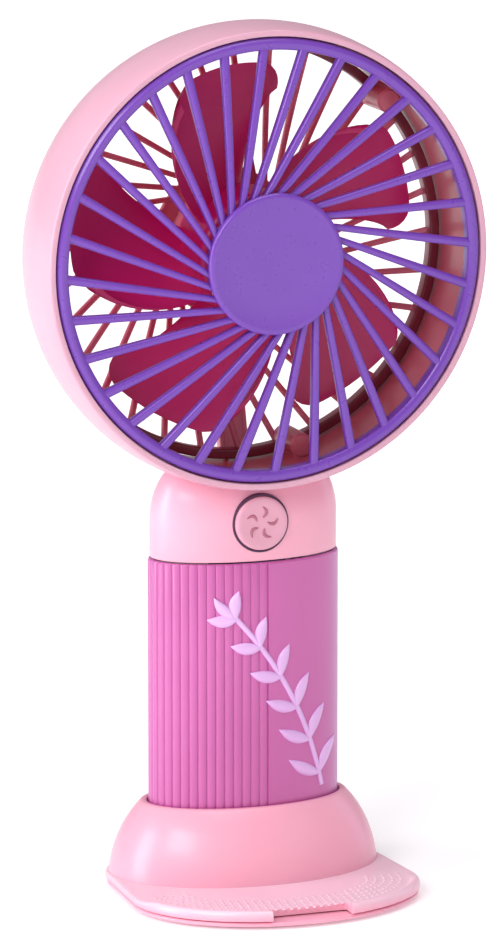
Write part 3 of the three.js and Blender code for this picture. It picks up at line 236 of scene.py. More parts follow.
def from_head_axis(material, radius):
    """0 inside a radius round the head's axis and 1 outside it."""
    nodes, links = material.node_tree.nodes, material.node_tree.links
    spot = nodes.new("ShaderNodeNewGeometry")
    middle = nodes.new("ShaderNodeVectorMath")
    middle.operation = "SUBTRACT"
    middle.inputs[1].default_value = (0, 0, HEAD_Z * MM)
    links.new(spot.outputs["Position"], middle.inputs[0])
    flat = nodes.new("ShaderNodeVectorMath")
    flat.operation = "MULTIPLY"
    flat.inputs[1].default_value = (1, 0, 1)
    links.new(middle.outputs["Vector"], flat.inputs[0])
    size = nodes.new("ShaderNodeVectorMath")
    size.operation = "LENGTH"
    links.new(flat.outputs["Vector"], size.inputs[0])
    edge = nodes.new("ShaderNodeMapRange")
    edge.inputs["From Min"].default_value = (radius - 0.25) * MM
    edge.inputs["From Max"].default_value = (radius + 0.25) * MM
    links.new(size.outputs["Value"], edge.inputs["Value"])
    return edge.outputs["Result"]


def facing(material, axis):
    """0 on what faces away from an axis's direction and 1 on what faces along it."""
    nodes, links = material.node_tree.nodes, material.node_tree.links
    spot = nodes.new("ShaderNodeNewGeometry")
    split = nodes.new("ShaderNodeSeparateXYZ")
    links.new(spot.outputs["Normal"], split.inputs["Vector"])
    edge = nodes.new("ShaderNodeMapRange")
    edge.inputs["From Min"].default_value = -0.1
    edge.inputs["From Max"].default_value = 0.5
    links.new(split.outputs[axis], edge.inputs["Value"])
    return edge.outputs["Result"]


PINK_TONES = (0.89, 0.385, 0.51), (0.92, 0.425, 0.55)


def pink(name, tones=PINK_TONES):
    return moulded(name, *tones, (0.3, 0.38), coat=0.15, soft=0.15)


# painted shade: the shell's bore is painted a darker rose than its outside, for the shade inside the head
HEAD_PINK = pink("head_pink", ((0.64, 0.335, 0.44), (0.68, 0.365, 0.47)))
outside_bore = from_head_axis(HEAD_PINK, HEAD_R - SHELL_RIM - 0.6)
paint_light_and_shade(HEAD_PINK, outside_bore, (0.60, 0.10, 0.15), (0.66, 0.13, 0.19))
# painted shade: the rear grille is painted darker on the faces that look forward, towards the impeller, for
# the shade they lie in
REAR_PINK = pink("rear_pink")
paint_light_and_shade(REAR_PINK, facing(REAR_PINK, "Y"), (0.66, 0.14, 0.22), (0.72, 0.17, 0.26))
# painted shade: the rear ring's forward faces are painted an almost black red, for the deep shade it lies
# in; faces looking back keep the pink
REAR_RING_SHADE = pink("rear_ring_pink")
paint_light_and_shade(REAR_RING_SHADE, facing(REAR_RING_SHADE, "Y"), (0.17, 0.010, 0.028), (0.21, 0.014, 0.036))
PINK = pink("pink_shell")
# painted light: the brim's upward faces are painted paler than its sides, for the light from above
CAP_PINK = pink("cap_pink", ((0.90, 0.56, 0.67), (0.93, 0.60, 0.71)))
paint_light_and_shade(CAP_PINK, facing(CAP_PINK, "Z"), *PINK_TONES)
BUTTON_PINK = moulded("pink_button", (0.70, 0.33, 0.44), (0.76, 0.38, 0.49), (0.32, 0.45), coat=0.1)
SMOOTH = 0.000004  # relief of a polished mould
PURPLE_TONES = (0.152, 0.042, 0.39), (0.170, 0.050, 0.42)
PURPLE = moulded("purple_grille", *PURPLE_TONES, (0.26, 0.30), coat=0.2, relief=SMOOTH)
MAGENTA_TONES = (0.53, 0.095, 0.345), (0.57, 0.11, 0.375)
MAGENTA = moulded("magenta_sleeve", *MAGENTA_TONES, (0.36, 0.42), coat=0.6, relief=SMOOTH)
pearl = MAGENTA.node_tree.nodes["Principled BSDF"]
pearl.inputs["Coat Roughness"].default_value = 0.3
pearl.inputs["Sheen Weight"].default_value = 0.8
pearl.inputs["Sheen Tint"].default_value = (0.62, 0.5, 1.0, 1)
pearl.inputs["Sheen Roughness"].default_value = 0.35
ICON_PINK = moulded("button_icon", (0.42, 0.13, 0.20), (0.47, 0.16, 0.23), (0.35, 0.45))
LILAC = moulded("lilac_trim", (0.70, 0.40, 0.76), (0.78, 0.48, 0.83), (0.25, 0.35), coat=0.3)
CRIMSON = moulded("crimson_blades", (0.54, 0.002, 0.115), (0.62, 0.004, 0.145), (0.34, 0.42), coat=0.08)
DARK = moulded("dark_trim", (0.06, 0.015, 0.06), (0.09, 0.025, 0.085), (0.4, 0.55))
RUBBER = moulded("rubber_pad", (0.50, 0.26, 0.33), (0.56, 0.31, 0.38), (0.7, 0.85), relief=0.00008)
INNER = moulded("inner_plastic", (0.74, 0.72, 0.70), (0.80, 0.78, 0.76), (0.4, 0.55))
BLACK = moulded("black_plastic", (0.012, 0.012, 0.014), (0.02, 0.02, 0.022), (0.4, 0.55))
BOARD = moulded("board", (0.012, 0.12, 0.05), (0.02, 0.17, 0.075), (0.3, 0.45))
CELL = moulded("cell_wrap", (0.03, 0.15, 0.38), (0.045, 0.19, 0.45), (0.2, 0.3), coat=0.4)
LEAD_RED = moulded("lead_red", (0.42, 0.015, 0.015), (0.5, 0.025, 0.02), (0.4, 0.5))
LEAD_BLACK = moulded("lead_black", (0.010, 0.010, 0.012), (0.018, 0.018, 0.02), (0.4, 0.5))
MAGNET = moulded("magnet", (0.045, 0.045, 0.05), (0.065, 0.065, 0.07), (0.5, 0.7))
STEEL = worn_metal("screw_steel", (0.56, 0.58, 0.60), (0.68, 0.70, 0.72), stretch=(1, 6, 1))
NICKEL = worn_metal("nickel", (0.66, 0.64, 0.60), (0.76, 0.74, 0.70), (0.18, 0.3))
BRONZE = worn_metal("bronze", (0.44, 0.27, 0.10), (0.56, 0.37, 0.16))
COPPER = worn_metal("copper", (0.52, 0.21, 0.09), (0.66, 0.30, 0.14), stretch=(1, 8, 1))

SLOT_MATERIALS = {
    "pink_shell": PINK,
    "pink_button": BUTTON_PINK,
    "purple_grille": PURPLE,
    "magenta_sleeve": MAGENTA,
    "lilac_trim": LILAC,
    "crimson_blades": CRIMSON,
    "dark_trim": DARK,
    "rubber_pad": RUBBER,
    "inner_plastic": INNER,
    "black_plastic": BLACK,
    "board": BOARD,
    "cell_wrap": CELL,
    "lead_red": LEAD_RED,
    "lead_black": LEAD_BLACK,
    "magnet": MAGNET,
    "screw_steel": STEEL,
    "nickel": NICKEL,
    "bronze": BRONZE,
    "copper": COPPER,
}


def dress_frame():
    """Gives every CAD node the procedural material of its slot."""
    for entry in frame["record"]["subparts"]:
        mesh = frame["nodes"][entry["node"]].data
        mesh.materials.clear()
        mesh.materials.append(SLOT_MATERIALS[entry["material_slot"]])


# ------------------------------------------------------------------ mesh building, in millimetres
def build(name, verts, faces, material, sharp=38):
    mesh = bpy.data.meshes.new(name)
    mesh.from_pydata([[c * MM for c in v] for v in verts], [], faces)
    mesh.validate()
    shape = bmesh.new()
    shape.from_mesh(mesh)
    bmesh.ops.remove_doubles(shape, verts=shape.verts, dist=1e-7)
    bmesh.ops.recalc_face_normals(shape, faces=shape.faces)
    shape.to_mesh(mesh)
    shape.free()
    soften(mesh, sharp)
    piece = bpy.data.objects.new(name, mesh)
    bpy.context.scene.collection.objects.link(piece)
    mesh.materials.append(material)
    return piece


def soften(mesh, sharp=38):
    mesh.shade_smooth()
    mesh.set_sharp_from_angle(angle=math.radians(sharp))


def merge(name, pieces):
    """One object out of several, keeping their faces and materials."""
    first = pieces[0]
    chosen = {"selected_objects": pieces, "selected_editable_objects": pieces}
    with bpy.context.temp_override(active_object=first, object=first, **chosen):
        bpy.ops.object.join()
    first.name = name
    return first


def carve(piece, *tools):
    """Takes the tools' volumes out of the piece."""
    for tool in tools:
        modifier = piece.modifiers.new("carve", "BOOLEAN")
        modifier.operation = "DIFFERENCE"
        modifier.solver = "EXACT"
        modifier.object = tool
    depsgraph = bpy.context.evaluated_depsgraph_get()
    mesh = bpy.data.meshes.new_from_object(piece.evaluated_get(depsgraph))
    piece.modifiers.clear()
    piece.data = mesh
    for tool in tools:
        bpy.data.objects.remove(tool)
    soften(mesh)
    return piece


def rings(rows, closed_profile):
    """Corners and faces of a body swept through rows of equally many points, capped unless closed."""
    count = len(rows[0])
    verts = [p for row in rows for p in row]
    faces = []
    last = len(rows) if closed_profile else len(rows) - 1
    for i in range(last):
        a, b = i * count, ((i + 1) % len(rows)) * count
        for j in range(count):
            k = (j + 1) % count
            faces.append((a + j, a + k, b + k, b + j))
    if not closed_profile:
        faces.append(tuple(range(count)))
        faces.append(tuple(range((len(rows) - 1) * count, len(rows) * count)))
    return verts, faces


def gather(parts):
    """Corners and faces of several bodies as one."""
    verts, faces = [], []
    for part_verts, part_faces in parts:
        start = len(verts)
        verts += part_verts
        faces += [tuple(n + start for n in face) for face in part_faces]
    return verts, faces


def shell_of_two(sheets, rows, across):
    """Closes the space between two equal grids of corners, each of rows + 1 by across + 1."""
    count = across + 1
    total = (rows + 1) * count
    faces = []
    for side in (0, 1):
        for i in range(rows):
            for j in range(across):
                a = side * total + i * count + j
                faces.append((a, a + 1, a + count + 1, a + count))
    edge = [(0, j) for j in range(across)] + [(i, across) for i in range(rows)]
    edge += [(rows, j) for j in range(across, 0, -1)] + [(i, 0) for i in range(rows, 0, -1)]
    loop = [i * count + j for i, j in edge]
    for k, a in enumerate(loop):
        b = loop[(k + 1) % len(loop)]
        faces.append((a, b, b + total, a + total))
    return [p for sheet in sheets for p in sheet], faces


def fillet(points, radius, steps=5):
    """A closed outline with its corners rounded; radius is one number or one for each corner."""
    count = len(points)
    radii = radius if isinstance(radius, (list, tuple)) else [radius] * count
    out = []
    for i in range(count):
        here = np.array(points[i], float)
        before = np.array(points[i - 1], float) - here
        after = np.array(points[(i + 1) % count], float) - here
        reach = min(radii[i], 0.48 * np.linalg.norm(before), 0.48 * np.linalg.norm(after))
        if reach <= 0:
            out.append(tuple(here))
            continue
        start = here + before / np.linalg.norm(before) * reach
        end = here + after / np.linalg.norm(after) * reach
        for k in range(steps + 1):
            t = k / steps
            out.append(tuple((1 - t) ** 2 * start + 2 * t * (1 - t) * here + t * t * end))
    return out


def circle(count):
    return [2 * math.pi * j / count for j in range(count)]


def turned_rows(profile, cx, cz, segments):
    """Circles in planes of constant y; profile points are (radius, y)."""
    return [
        [(cx + radius * math.cos(a), y, cz + radius * math.sin(a)) for a in circle(segments)]
        for radius, y in profile
    ]


def lathe_head(name, profile, material, segments):
    """A ring turned about the head's axis from a closed profile."""
    return build(name, *rings(turned_rows(profile, 0, HEAD_Z, segments), True), material)


def disc_head(name, profile, material, centre=(0, HEAD_Z), segments=128):
    """A turned body that is closed on its axis: profile runs from front to back, rim included."""
    return build(name, *rings(turned_rows(profile, *centre, segments), False), material)


def oval_row(out, z, segments=180):
    """The handle's oval, moved out by out."""
    a, b = HALF_WIDTH + out, HALF_DEPTH + out
    return [(a * math.cos(t), b * math.sin(t), z) for t in circle(segments)]


def extruded(name, outline, low, high, material):
    """A plan outline of (x, y) drawn up from z = low to high."""
    return build(name, *rings([[(x, y, z) for x, y in outline] for z in (low, high)], False), material)


def bezier(p0, p1, p2, steps):
    out = []
    for k in range(steps + 1):
        t = k / steps
        out.append(tuple((1 - t) ** 2 * a + 2 * t * (1 - t) * b + t * t * c for a, b, c in zip(p0, p1, p2)))
    return out


def block(name, low, high):
    (x0, y0, z0), (x1, y1, z1) = low, high
    verts = [(x, y, z) for x in (x0, x1) for y in (y0, y1) for z in (z0, z1)]
    faces = [(0, 1, 3, 2), (4, 6, 7, 5), (0, 4, 5, 1), (2, 3, 7, 6), (0, 2, 6, 4), (1, 5, 7, 3)]
    return build(name, verts, faces, PINK)


# ------------------------------------------------------------------ camera
def add_camera():
    azimuth, elevation = math.radians(-20.28), math.radians(11.68)
    distance = 1.4478
    target = Vector((-0.0020, -0.0097, 0.0910))
    level = math.cos(elevation)
    back = Vector((math.sin(azimuth) * level, -math.cos(azimuth) * level, math.sin(elevation)))
    data = bpy.data.cameras.new("camera")
    data.lens = 256.9
    data.sensor_width = 36
    data.clip_end = 20
    camera = bpy.data.objects.new("camera", data)
    camera.location = target + back * distance
    camera.rotation_euler = back.to_track_quat("Z", "Y").to_euler()
    bpy.context.scene.collection.objects.link(camera)
    bpy.context.scene.camera = camera


# ------------------------------------------------------------------ studio
def add_area(name, place, size, power, colour=(1, 1, 1)):
    """A soft light that looks at the middle of the fan."""
    data = bpy.data.lights.new(name, "AREA")
    data.shape = "RECTANGLE"
    data.size, data.size_y = size
    data.energy = power
    data.color = colour
    light = bpy.data.objects.new(name, data)
    light.location = place
    light.rotation_euler = (Vector(place) - Vector((0, 0, 0.11))).to_track_quat("Z", "Y").to_euler()
    bpy.context.scene.collection.objects.link(light)


def add_world():
    """White to the camera and a dimmer glow to everything else."""
    world = bpy.data.worlds.new("studio")
    world.use_nodes = True
    nodes, links = world.node_tree.nodes, world.node_tree.links
    backdrop = nodes["Background"]
    backdrop.inputs["Color"].default_value = (1, 1, 1, 1)
    backdrop.inputs["Strength"].default_value = 1.0
    glow = nodes.new("ShaderNodeBackground")
    glow.inputs["Color"].default_value = (1, 0.97, 0.99, 1)
    glow.inputs["Strength"].default_value = 0.36
    rays = nodes.new("ShaderNodeLightPath")
    mix = nodes.new("ShaderNodeMixShader")
    links.new(rays.outputs["Is Camera Ray"], mix.inputs["Fac"])
    links.new(glow.outputs["Background"], mix.inputs[1])
    links.new(backdrop.outputs["Background"], mix.inputs[2])
    links.new(mix.outputs["Shader"], nodes["World Output"].inputs["Surface"])
    bpy.context.scene.world = world


def add_floor():
    """A pale floor that glows more with distance, so that it melts into the white world."""
    mesh = bpy.data.meshes.new("floor")
    mesh.from_pydata([(-6, -6, 0), (6, -6, 0), (6, 6, 0), (-6, 6, 0)], [], [(0, 1, 2, 3)])
    floor = bpy.data.objects.new("floor", mesh)
    bpy.context.scene.collection.objects.link(floor)
    material, nodes, links, shader = new_material("pale_floor")
    tone = ramp(nodes, links, noise(nodes, links, 3, 2), (0.93, 0.925, 0.93), (0.95, 0.945, 0.95))
    links.new(tone, shader.inputs["Base Color"])
    shader.inputs["Roughness"].default_value = 0.6
    shader.inputs["Specular IOR Level"].default_value = 0.25
    spot = nodes.new("ShaderNodeNewGeometry")
    reach = nodes.new("ShaderNodeVectorMath")
    reach.operation = "LENGTH"
    links.new(spot.outputs["Position"], reach.inputs[0])
    near = span(nodes, links, reach.outputs["Value"], 0.25, 0.75)
    near.node.inputs["From Min"].default_value = 0.1
    near.node.inputs["From Max"].default_value = 0.9
    shader.inputs["Emission Color"].default_value = (1, 1, 1, 1)
    links.new(near, shader.inputs["Emission Strength"])
    mesh.materials.append(material)


def add_studio():
    add_world()
    add_area("key", (-0.75, -0.7, 0.75), (0.5, 0.5), 6.3)
    add_area("side", (-0.95, 0.0, 0.25), (0.35, 0.8), 6.6)
    add_area("rim", (0.9, 0.15, 0.25), (0.3, 0.8), 0.9, (0.78, 0.7, 1.0))
    add_area("front_fill", (0.35, -1.1, 0.3), (0.6, 0.6), 0.5)
    add_area("top", (0.05, -0.1, 1.0), (0.5, 0.5), 3.5)
    add_floor()
    bpy.context.scene.view_settings.view_transform = "Standard"


# ------------------------------------------------------------------ head
def shell_side():
    """The shell's outside from its straight part to the rear, as (radius, y)."""
    straight = HEAD_FRONT + HEAD_STRAIGHT
    return bezier((HEAD_R, straight), (HEAD_R, (straight + HEAD_REAR) / 2), (REAR_RADIUS, HEAD_REAR), 14)


def screw_place(degrees, out=0.0):
    """Where a grille screw sits, as (x, z); out moves it away from the head's axis."""
    reach = REAR_R - REAR_RING_WIDTH + out
    angle = math.radians(degrees)
    return reach * math.cos(angle), HEAD_Z + reach * math.sin(angle)


def make_shell():
    rim = HEAD_R - SHELL_RIM
    bore = rim - SHELL_LEDGE
    side = shell_side()
    outside = [(HEAD_R - 0.9, HEAD_FRONT), (HEAD_R - 0.25, HEAD_FRONT + 3.5), *side]
    inside = [
        (REAR_RADIUS - SHELL_WALL, HEAD_REAR),
        (bore, HEAD_FRONT + HEAD_STRAIGHT),
        (bore, GRILLE_BACK + GAP),
        (rim, GRILLE_BACK + GAP),
        (rim, HEAD_FRONT),
    ]
    radii = [0.45, 4] + [0] * (len(side) - 1) + [0.5] + [0.4, 0, 0.15, 0.15, 0.3]
    shell = lathe_head("shell_body", fillet([*outside, *inside], radii), HEAD_PINK, 220)
    back = HEAD_REAR - 3.3
    bosses = []
    for degrees in GRILLE_SCREWS:
        for out, wide, depth in ((0, 2.6, 8), (2, 2.3, 8.4)):
            front = GRILLE_BACK + depth
            outline = [(AXIS, front), (wide - 0.4, front), (wide, front + 0.4), (wide, back), (AXIS, back)]
            bosses.append(disc_head("boss", outline, HEAD_PINK, screw_place(degrees, out), 28))
    return merge("head_shell_moulding", [shell, *bosses])


def spoke_rows(length, ends, section, stations, sides):
    """A straight bar along +X with rounded edges; ends are its y at the ring and at the hub."""
    deep = section["depth"]
    rows = []
    for k in range(stations + 1):
        t = k / stations
        wide = section["outer"] + (section["inner"] - section["outer"]) * t
        corner = min(wide, deep) * 0.42
        y0 = ends[0] + (ends[1] - ends[0]) * (t + 0.10 * math.sin(math.pi * t))
        x1, y1 = wide / 2, deep / 2
        outline = fillet([(-x1, -y1), (x1, -y1), (x1, y1), (-x1, y1)], corner, sides)
        rows.append([(length * t, v, y0 + w) for v, w in outline])
    return rows


def turned_by(u, w, angle):
    """A point turned about the origin of its plane."""
    return u * math.cos(angle) - w * math.sin(angle), u * math.sin(angle) + w * math.cos(angle)


def make_spokes(name, ring, hub, section, twist, material):
    """Straight slanted spokes between a ring and a hub, both given as (radius, y)."""
    (ring_r, ring_y), (hub_r, hub_y) = ring, hub
    turn = math.radians(twist)
    run = np.array([hub_r * math.cos(turn) - ring_r, hub_r * math.sin(turn)])
    heading = math.atan2(run[1], run[0])
    base = spoke_rows(float(np.linalg.norm(run)), (ring_y, hub_y), section, 8, 3)
    spokes = []
    for phase in circle(SPOKES):
        rows = []
        for row in base:
            placed = []
            for along, across, y in row:
                u, w = turned_by(along, across, heading)
                x, z = turned_by(u + ring_r, w, phase + math.radians(SPOKE_PHASE))
                placed.append((x, y, HEAD_Z + z))
            rows.append(placed)
        spokes.append(rings(rows, False))
    return build(name, *gather(spokes), material, 50)


def make_front_grille():
    inner = GRILLE_R - RING_WIDTH
    crest = HEAD_FRONT - 0.3
    outline = [(inner, HEAD_FRONT + 0.2), (inner + 1.0, crest), (GRILLE_R - 0.9, crest)]
    outline += [(GRILLE_R, HEAD_FRONT + 0.4), (GRILLE_R, GRILLE_BACK), (inner, GRILLE_BACK)]
    ring = lathe_head("grille_ring", fillet(outline, [0.5, 0.8, 0.8, 0.5, 0.3, 0.5]), PURPLE, 220)
    plate_front = HEAD_FRONT - FRONT_DISHING
    plate_back = plate_front + 2.2
    edge = HUB_R - 0.4
    profile = [(AXIS, plate_front), (edge - 0.3, plate_front), (edge, plate_front + 0.3)]
    profile += [(edge, plate_back - 0.3), (edge - 0.3, plate_back), (AXIS, plate_back)]
    plate = disc_head("grille_plate", profile, PURPLE)
    ends = (GRILLE_R - 1, HEAD_FRONT + 1.2), (HUB_R - 1.5, plate_back - 1.15)
    section = {"outer": 2.0, "inner": 1.35, "depth": 2.1}
    spokes = make_spokes("grille_spokes", *ends, section, SPOKE_TWIST, PURPLE)
    return merge("front_grille_moulding", [ring, plate, spokes])


def make_badge():
    """A smooth disc with a shallow groove just inside its rounded edge."""
    front, back = badge_low[1], badge_high[1]
    profile = [(AXIS, front + 0.22), (HUB_R * 0.5, front + 0.16), (HUB_R - 1.6, front + 0.1)]
    profile += [(HUB_R - 1.25, front + 0.02), (HUB_R - 1.0, front), (HUB_R - 0.45, front + 0.05)]
    profile += [(HUB_R - 0.1, front + 0.3), (HUB_R, front + 0.6), (HUB_R, back), (AXIS, back)]
    return disc_head("grille_badge_disc", profile, PURPLE, segments=180)


def make_rear_grille():
    inner = REAR_R - REAR_RING_WIDTH
    ring_front = HEAD_REAR - 3
    outline = [(inner, ring_front), (REAR_R, ring_front), (REAR_R, HEAD_REAR), (inner, HEAD_REAR + 0.3)]
    ring = lathe_head("rear_ring", fillet(outline, 0.5), REAR_RING_SHADE, 200)
    hub_front = REAR_HUB_Y - 1.4
    profile = [(AXIS, hub_front), (REAR_HUB_R - 0.3, hub_front), (REAR_HUB_R, hub_front + 0.3)]
    profile += [(REAR_HUB_R, REAR_HUB_Y - 0.3), (REAR_HUB_R - 0.3, REAR_HUB_Y), (AXIS, REAR_HUB_Y)]
    plate = disc_head("rear_plate", profile, REAR_PINK)
    cup_front, cup_back = impeller_high[1] + 1.5, REAR_HUB_Y - 0.5
    cup_in, cup_out = 10.8, 12.3
    outline = [(cup_in, cup_front), (cup_out, cup_front), (cup_out, cup_back), (cup_in, cup_back)]
    cup = lathe_head("motor_cup", fillet(outline, 0.3), REAR_PINK, 96)
    ends = (REAR_R - 1, HEAD_REAR - 0.7), (REAR_HUB_R - 1.4, REAR_HUB_Y - 0.75)
    section = {"outer": 1.4, "inner": 1.15, "depth": 1.4}
    spokes = make_spokes("rear_spokes", *ends, section, -SPOKE_TWIST, REAR_PINK)
    return merge("rear_grille_moulding", [ring, plate, cup, spokes, make_lead_channel(), *make_lugs()])


def make_lugs():
    """The eyes on the rear ring that the grille screws go through, with seats for their heads."""
    face, back = HEAD_REAR + 0.1, HEAD_REAR - 3
    seat = HEAD_REAR - 1.2
    profile = [(2.05, seat), (2.2, face), (2.4, face), (2.6, face - 0.2)]
    profile += [(2.6, back), (1.15, back), (1.15, seat)]
    return [
        build("lug", *rings(turned_rows(profile, *screw_place(degrees), 36), True), PINK)
        for degrees in GRILLE_SCREWS
    ]


def make_lead_channel():
    """The trough that takes the motor's leads from the hub down to the collar."""
    slope = (REAR_HUB_Y - HEAD_REAR) / (REAR_R - REAR_HUB_R)
    top, bottom = -REAR_HUB_R + 0.6, -REAR_R + 1
    sides = ((-3.2, -2.2, 0, 2.8, bottom), (2.2, 3.2, 0, 2.8, bottom))
    covers = ((-3.2, 3.2, 2, 2.8, bottom + 4.6), (-2.3, 2.3, 0.02, 0.3, bottom + 0.4))
    pieces = []
    for x0, x1, front, back, low in (*sides, *covers):
        outline = fillet([(x0, front), (x1, front), (x1, back), (x0, back)], 0.25, 3)
        rows = []
        for k in range(9):
            z = top + (low - top) * k / 8
            face = HEAD_REAR - 1 + (REAR_R + z) * slope
            rows.append([(x, face + y, HEAD_Z + z) for x, y in outline])
        pieces.append(build("channel", *rings(rows, False), REAR_PINK))
    return merge("lead_channel", pieces)


def make_rear_cap():
    front, back = rear_cap_low[1], rear_cap_high[1]
    edge = REAR_CAP_R
    profile = [(AXIS, back), (edge * 0.6, back - 0.03), (edge - 1.3, back - 0.12), (edge - 0.5, back - 0.35)]
    profile += [(edge - 0.1, back - 0.8), (edge, front + 0.2), (edge - 0.2, front), (AXIS, front)]
    return disc_head("rear_hub_disc", profile, PINK, segments=160)


# ------------------------------------------------------------------ impeller
def blade_point(u, v, lift):
    """Radius, angle and y on a blade: u runs -1 to 1 across it, v from root to tip."""
    root = IMPELLER_HUB - 0.7
    corner = max(0.0, (abs(u) - 0.65) / 0.35)
    tip = BLADE_TIP - BLADE_CORNER * (1 - math.sqrt(max(0.0, 1 - corner**2)))
    radius = root + (tip - root) * v
    half = BLADE_ROOT_HALF + (BLADE_TIP_HALF - BLADE_ROOT_HALF) * v
    middle = BLADE_TIP_ANGLE + BLADE_SWEEP * (1 - v) ** 0.8
    depth = BLADE_PITCH * (0.86 + 0.14 * v)
    y = -1 - depth * u + 0.8 * (1 - u * u) + lift
    return radius, math.radians(middle + half * u), y


def make_blade(turn):
    spans, chords = 18, 20
    sheets = []
    for side in (-1, 1):
        sheet = []
        for i in range(spans + 1):
            v = i / spans
            for j in range(chords + 1):
                u = -math.cos(math.pi * j / chords)
                edge = math.sqrt(max(0.0, 1 - abs(u) ** 6)) * math.sqrt(max(0.0, 1 - v**16))
                lift = side * BLADE_HALF_THICKNESS * max(edge, 0.08)
                radius, angle, y = blade_point(u, v, lift)
                angle += turn
                sheet.append((radius * math.cos(angle), y, HEAD_Z + radius * math.sin(angle)))
        sheets.append(sheet)
    return shell_of_two(sheets, spans, chords)


def make_impeller():
    outer, inner = IMPELLER_HUB, IMPELLER_HUB - 1.5
    front, rear = impeller_low[1], impeller_high[1]
    floor = front + 1.5
    nose = bezier((outer - 2.2, front), (outer, front), (outer, front + 2.2), 8)
    profile = [(AXIS, front + 0.1), (outer - 3, front), *nose]
    profile += [(outer, rear - 0.3), (outer - 0.3, rear)]
    profile += [(inner + 0.3, rear), (inner, rear - 0.3), (inner, floor)]
    profile += [(2.6, floor), (2.6, floor + 3.4), (1.2, floor + 3.4), (1.2, floor), (AXIS, floor)]
    hub = disc_head("impeller_hub", profile, CRIMSON, segments=140)
    blades = build("impeller_blades", *gather(make_blade(turn) for turn in circle(BLADES)), CRIMSON, 60)
    return merge("impeller_moulding", [hub, blades])


# ------------------------------------------------------------------ handle
def oval_points(turns):
    """Points of the handle's oval at shares of its length, with their outward directions."""
    angles = np.linspace(0, 2 * math.pi, 8001)
    x, y = HALF_WIDTH * np.cos(angles), HALF_DEPTH * np.sin(angles)
    steps = np.hypot(np.diff(x), np.diff(y))
    length = np.concatenate([[0], np.cumsum(steps)])
    at = np.interp(np.asarray(turns) * length[-1], length, angles)
    px, py = HALF_WIDTH * np.cos(at), HALF_DEPTH * np.sin(at)
    nx, ny = px / HALF_WIDTH**2, py / HALF_DEPTH**2
    size = np.hypot(nx, ny)
    return px, py, nx / size, ny / size


def make_sleeve():
    """The fluted sleeve, with a smooth panel; its ends are rounded over and turned in."""
    per_flute = 12
    count = FLUTES * per_flute
    turns = np.arange(count) / count
    px, py, nx, ny = oval_points(turns)
    groove = FLUTE_DEPTH * (1 - np.abs(np.sin(np.pi * ((turns * FLUTES) % 1))) ** 0.55)
    first, last = (round(share * FLUTES) / FLUTES for share in PANEL)
    groove[(turns > first + 0.5 / count) & (turns < last - 0.5 / count)] = 0
    levels = [(0.9, 0), (0.5, 0), (0.18, 0.12), (0, 0.4)]
    levels += [(0, 0.4 + (SLEEVE_LENGTH - 0.8) * k / 6) for k in range(1, 7)]
    levels += [(0.18, SLEEVE_LENGTH - 0.12), (0.5, SLEEVE_LENGTH), (0.9, SLEEVE_LENGTH)]
    rows = []
    for inward, up in levels:
        depth = np.maximum(groove, inward)
        z = SLEEVE_BOTTOM + up
        rows.append([(a - c * d, b - e * d, z) for a, b, c, e, d in zip(px, py, nx, ny, depth)])
    return build("fluted_sleeve", *rings(rows, True), MAGENTA, 30)


def on_front(x, z, out):
    """A point on the handle's front, moved out by out."""
    a, b = HALF_WIDTH + out, HALF_DEPTH + out
    return (x, -b * math.sqrt(max(0.0, 1 - (x / a) ** 2)), z)


def raised_strip(points, widths, height, across=6):
    """A rounded ridge on the handle's front along points, as tall as height in its middle."""
    path = np.array(points, float)
    ahead = np.gradient(path, axis=0)
    top, foot = [], []
    for (x, z), (dx, dz), wide in zip(path, ahead, widths):
        size = math.hypot(dx, dz) or 1.0
        for j in range(across + 1):
            v = 2 * j / across - 1
            place = (x - dz / size * v * wide, z + dx / size * v * wide)
            lift = 0.02 + height * math.sqrt(max(0.0, 1 - v * v)) * min(1.0, wide / 0.5)
            top.append(on_front(*place, lift))
            foot.append(on_front(*place, -0.12))
    return shell_of_two((top, foot), len(path) - 1, across)


def leaf(foot, angle, length, wide):
    """A pointed leaf from its foot on the stem, slightly curled."""
    points, widths = [], []
    for k in range(15):
        s = k / 14
        reach = (1 - s) ** 2 * -0.6 + 2 * s * (1 - s) * 0.45 * length + s * s * length
        x, z = turned_by(reach, 0.5 * math.sin(math.pi * s), angle)
        points.append((foot[0] + x, foot[1] + z))
        widths.append(max(0.06, 2 * s * (1 - s) * wide))
    return raised_strip(points, widths, 0.55, 8)


def make_sprig():
    low = np.array([HALF_WIDTH * 0.7, SLEEVE_BOTTOM + SLEEVE_LENGTH * 0.21])
    high = np.array([-HALF_WIDTH * 0.4, SLEEVE_BOTTOM + SLEEVE_LENGTH * 0.86])
    bend = np.array([low[0] * 0.62, (low[1] + high[1]) / 2 + 3])

    def stem(t):
        return (1 - t) ** 2 * low + 2 * t * (1 - t) * bend + t * t * high

    def heading(t):
        way = 2 * (1 - t) * (bend - low) + 2 * t * (high - bend)
        return math.atan2(way[1], way[0])

    stations = 25
    line = [stem(k / (stations - 1)) for k in range(stations)]
    strips = [raised_strip(line, [0.6] * stations, 0.45)]
    pairs = 6
    for i in range(pairs):
        along = 0.06 + 0.86 * i / (pairs - 1)
        for side in (-1, 1):
            strips.append(leaf(stem(along), heading(along) + side * 0.85, 9.0 - 3.2 * along, 2.7))
    strips.append(leaf(stem(0.93), heading(1), 6, 2.3))
    return build("sleeve_sprig", *gather(strips), LILAC, 50)


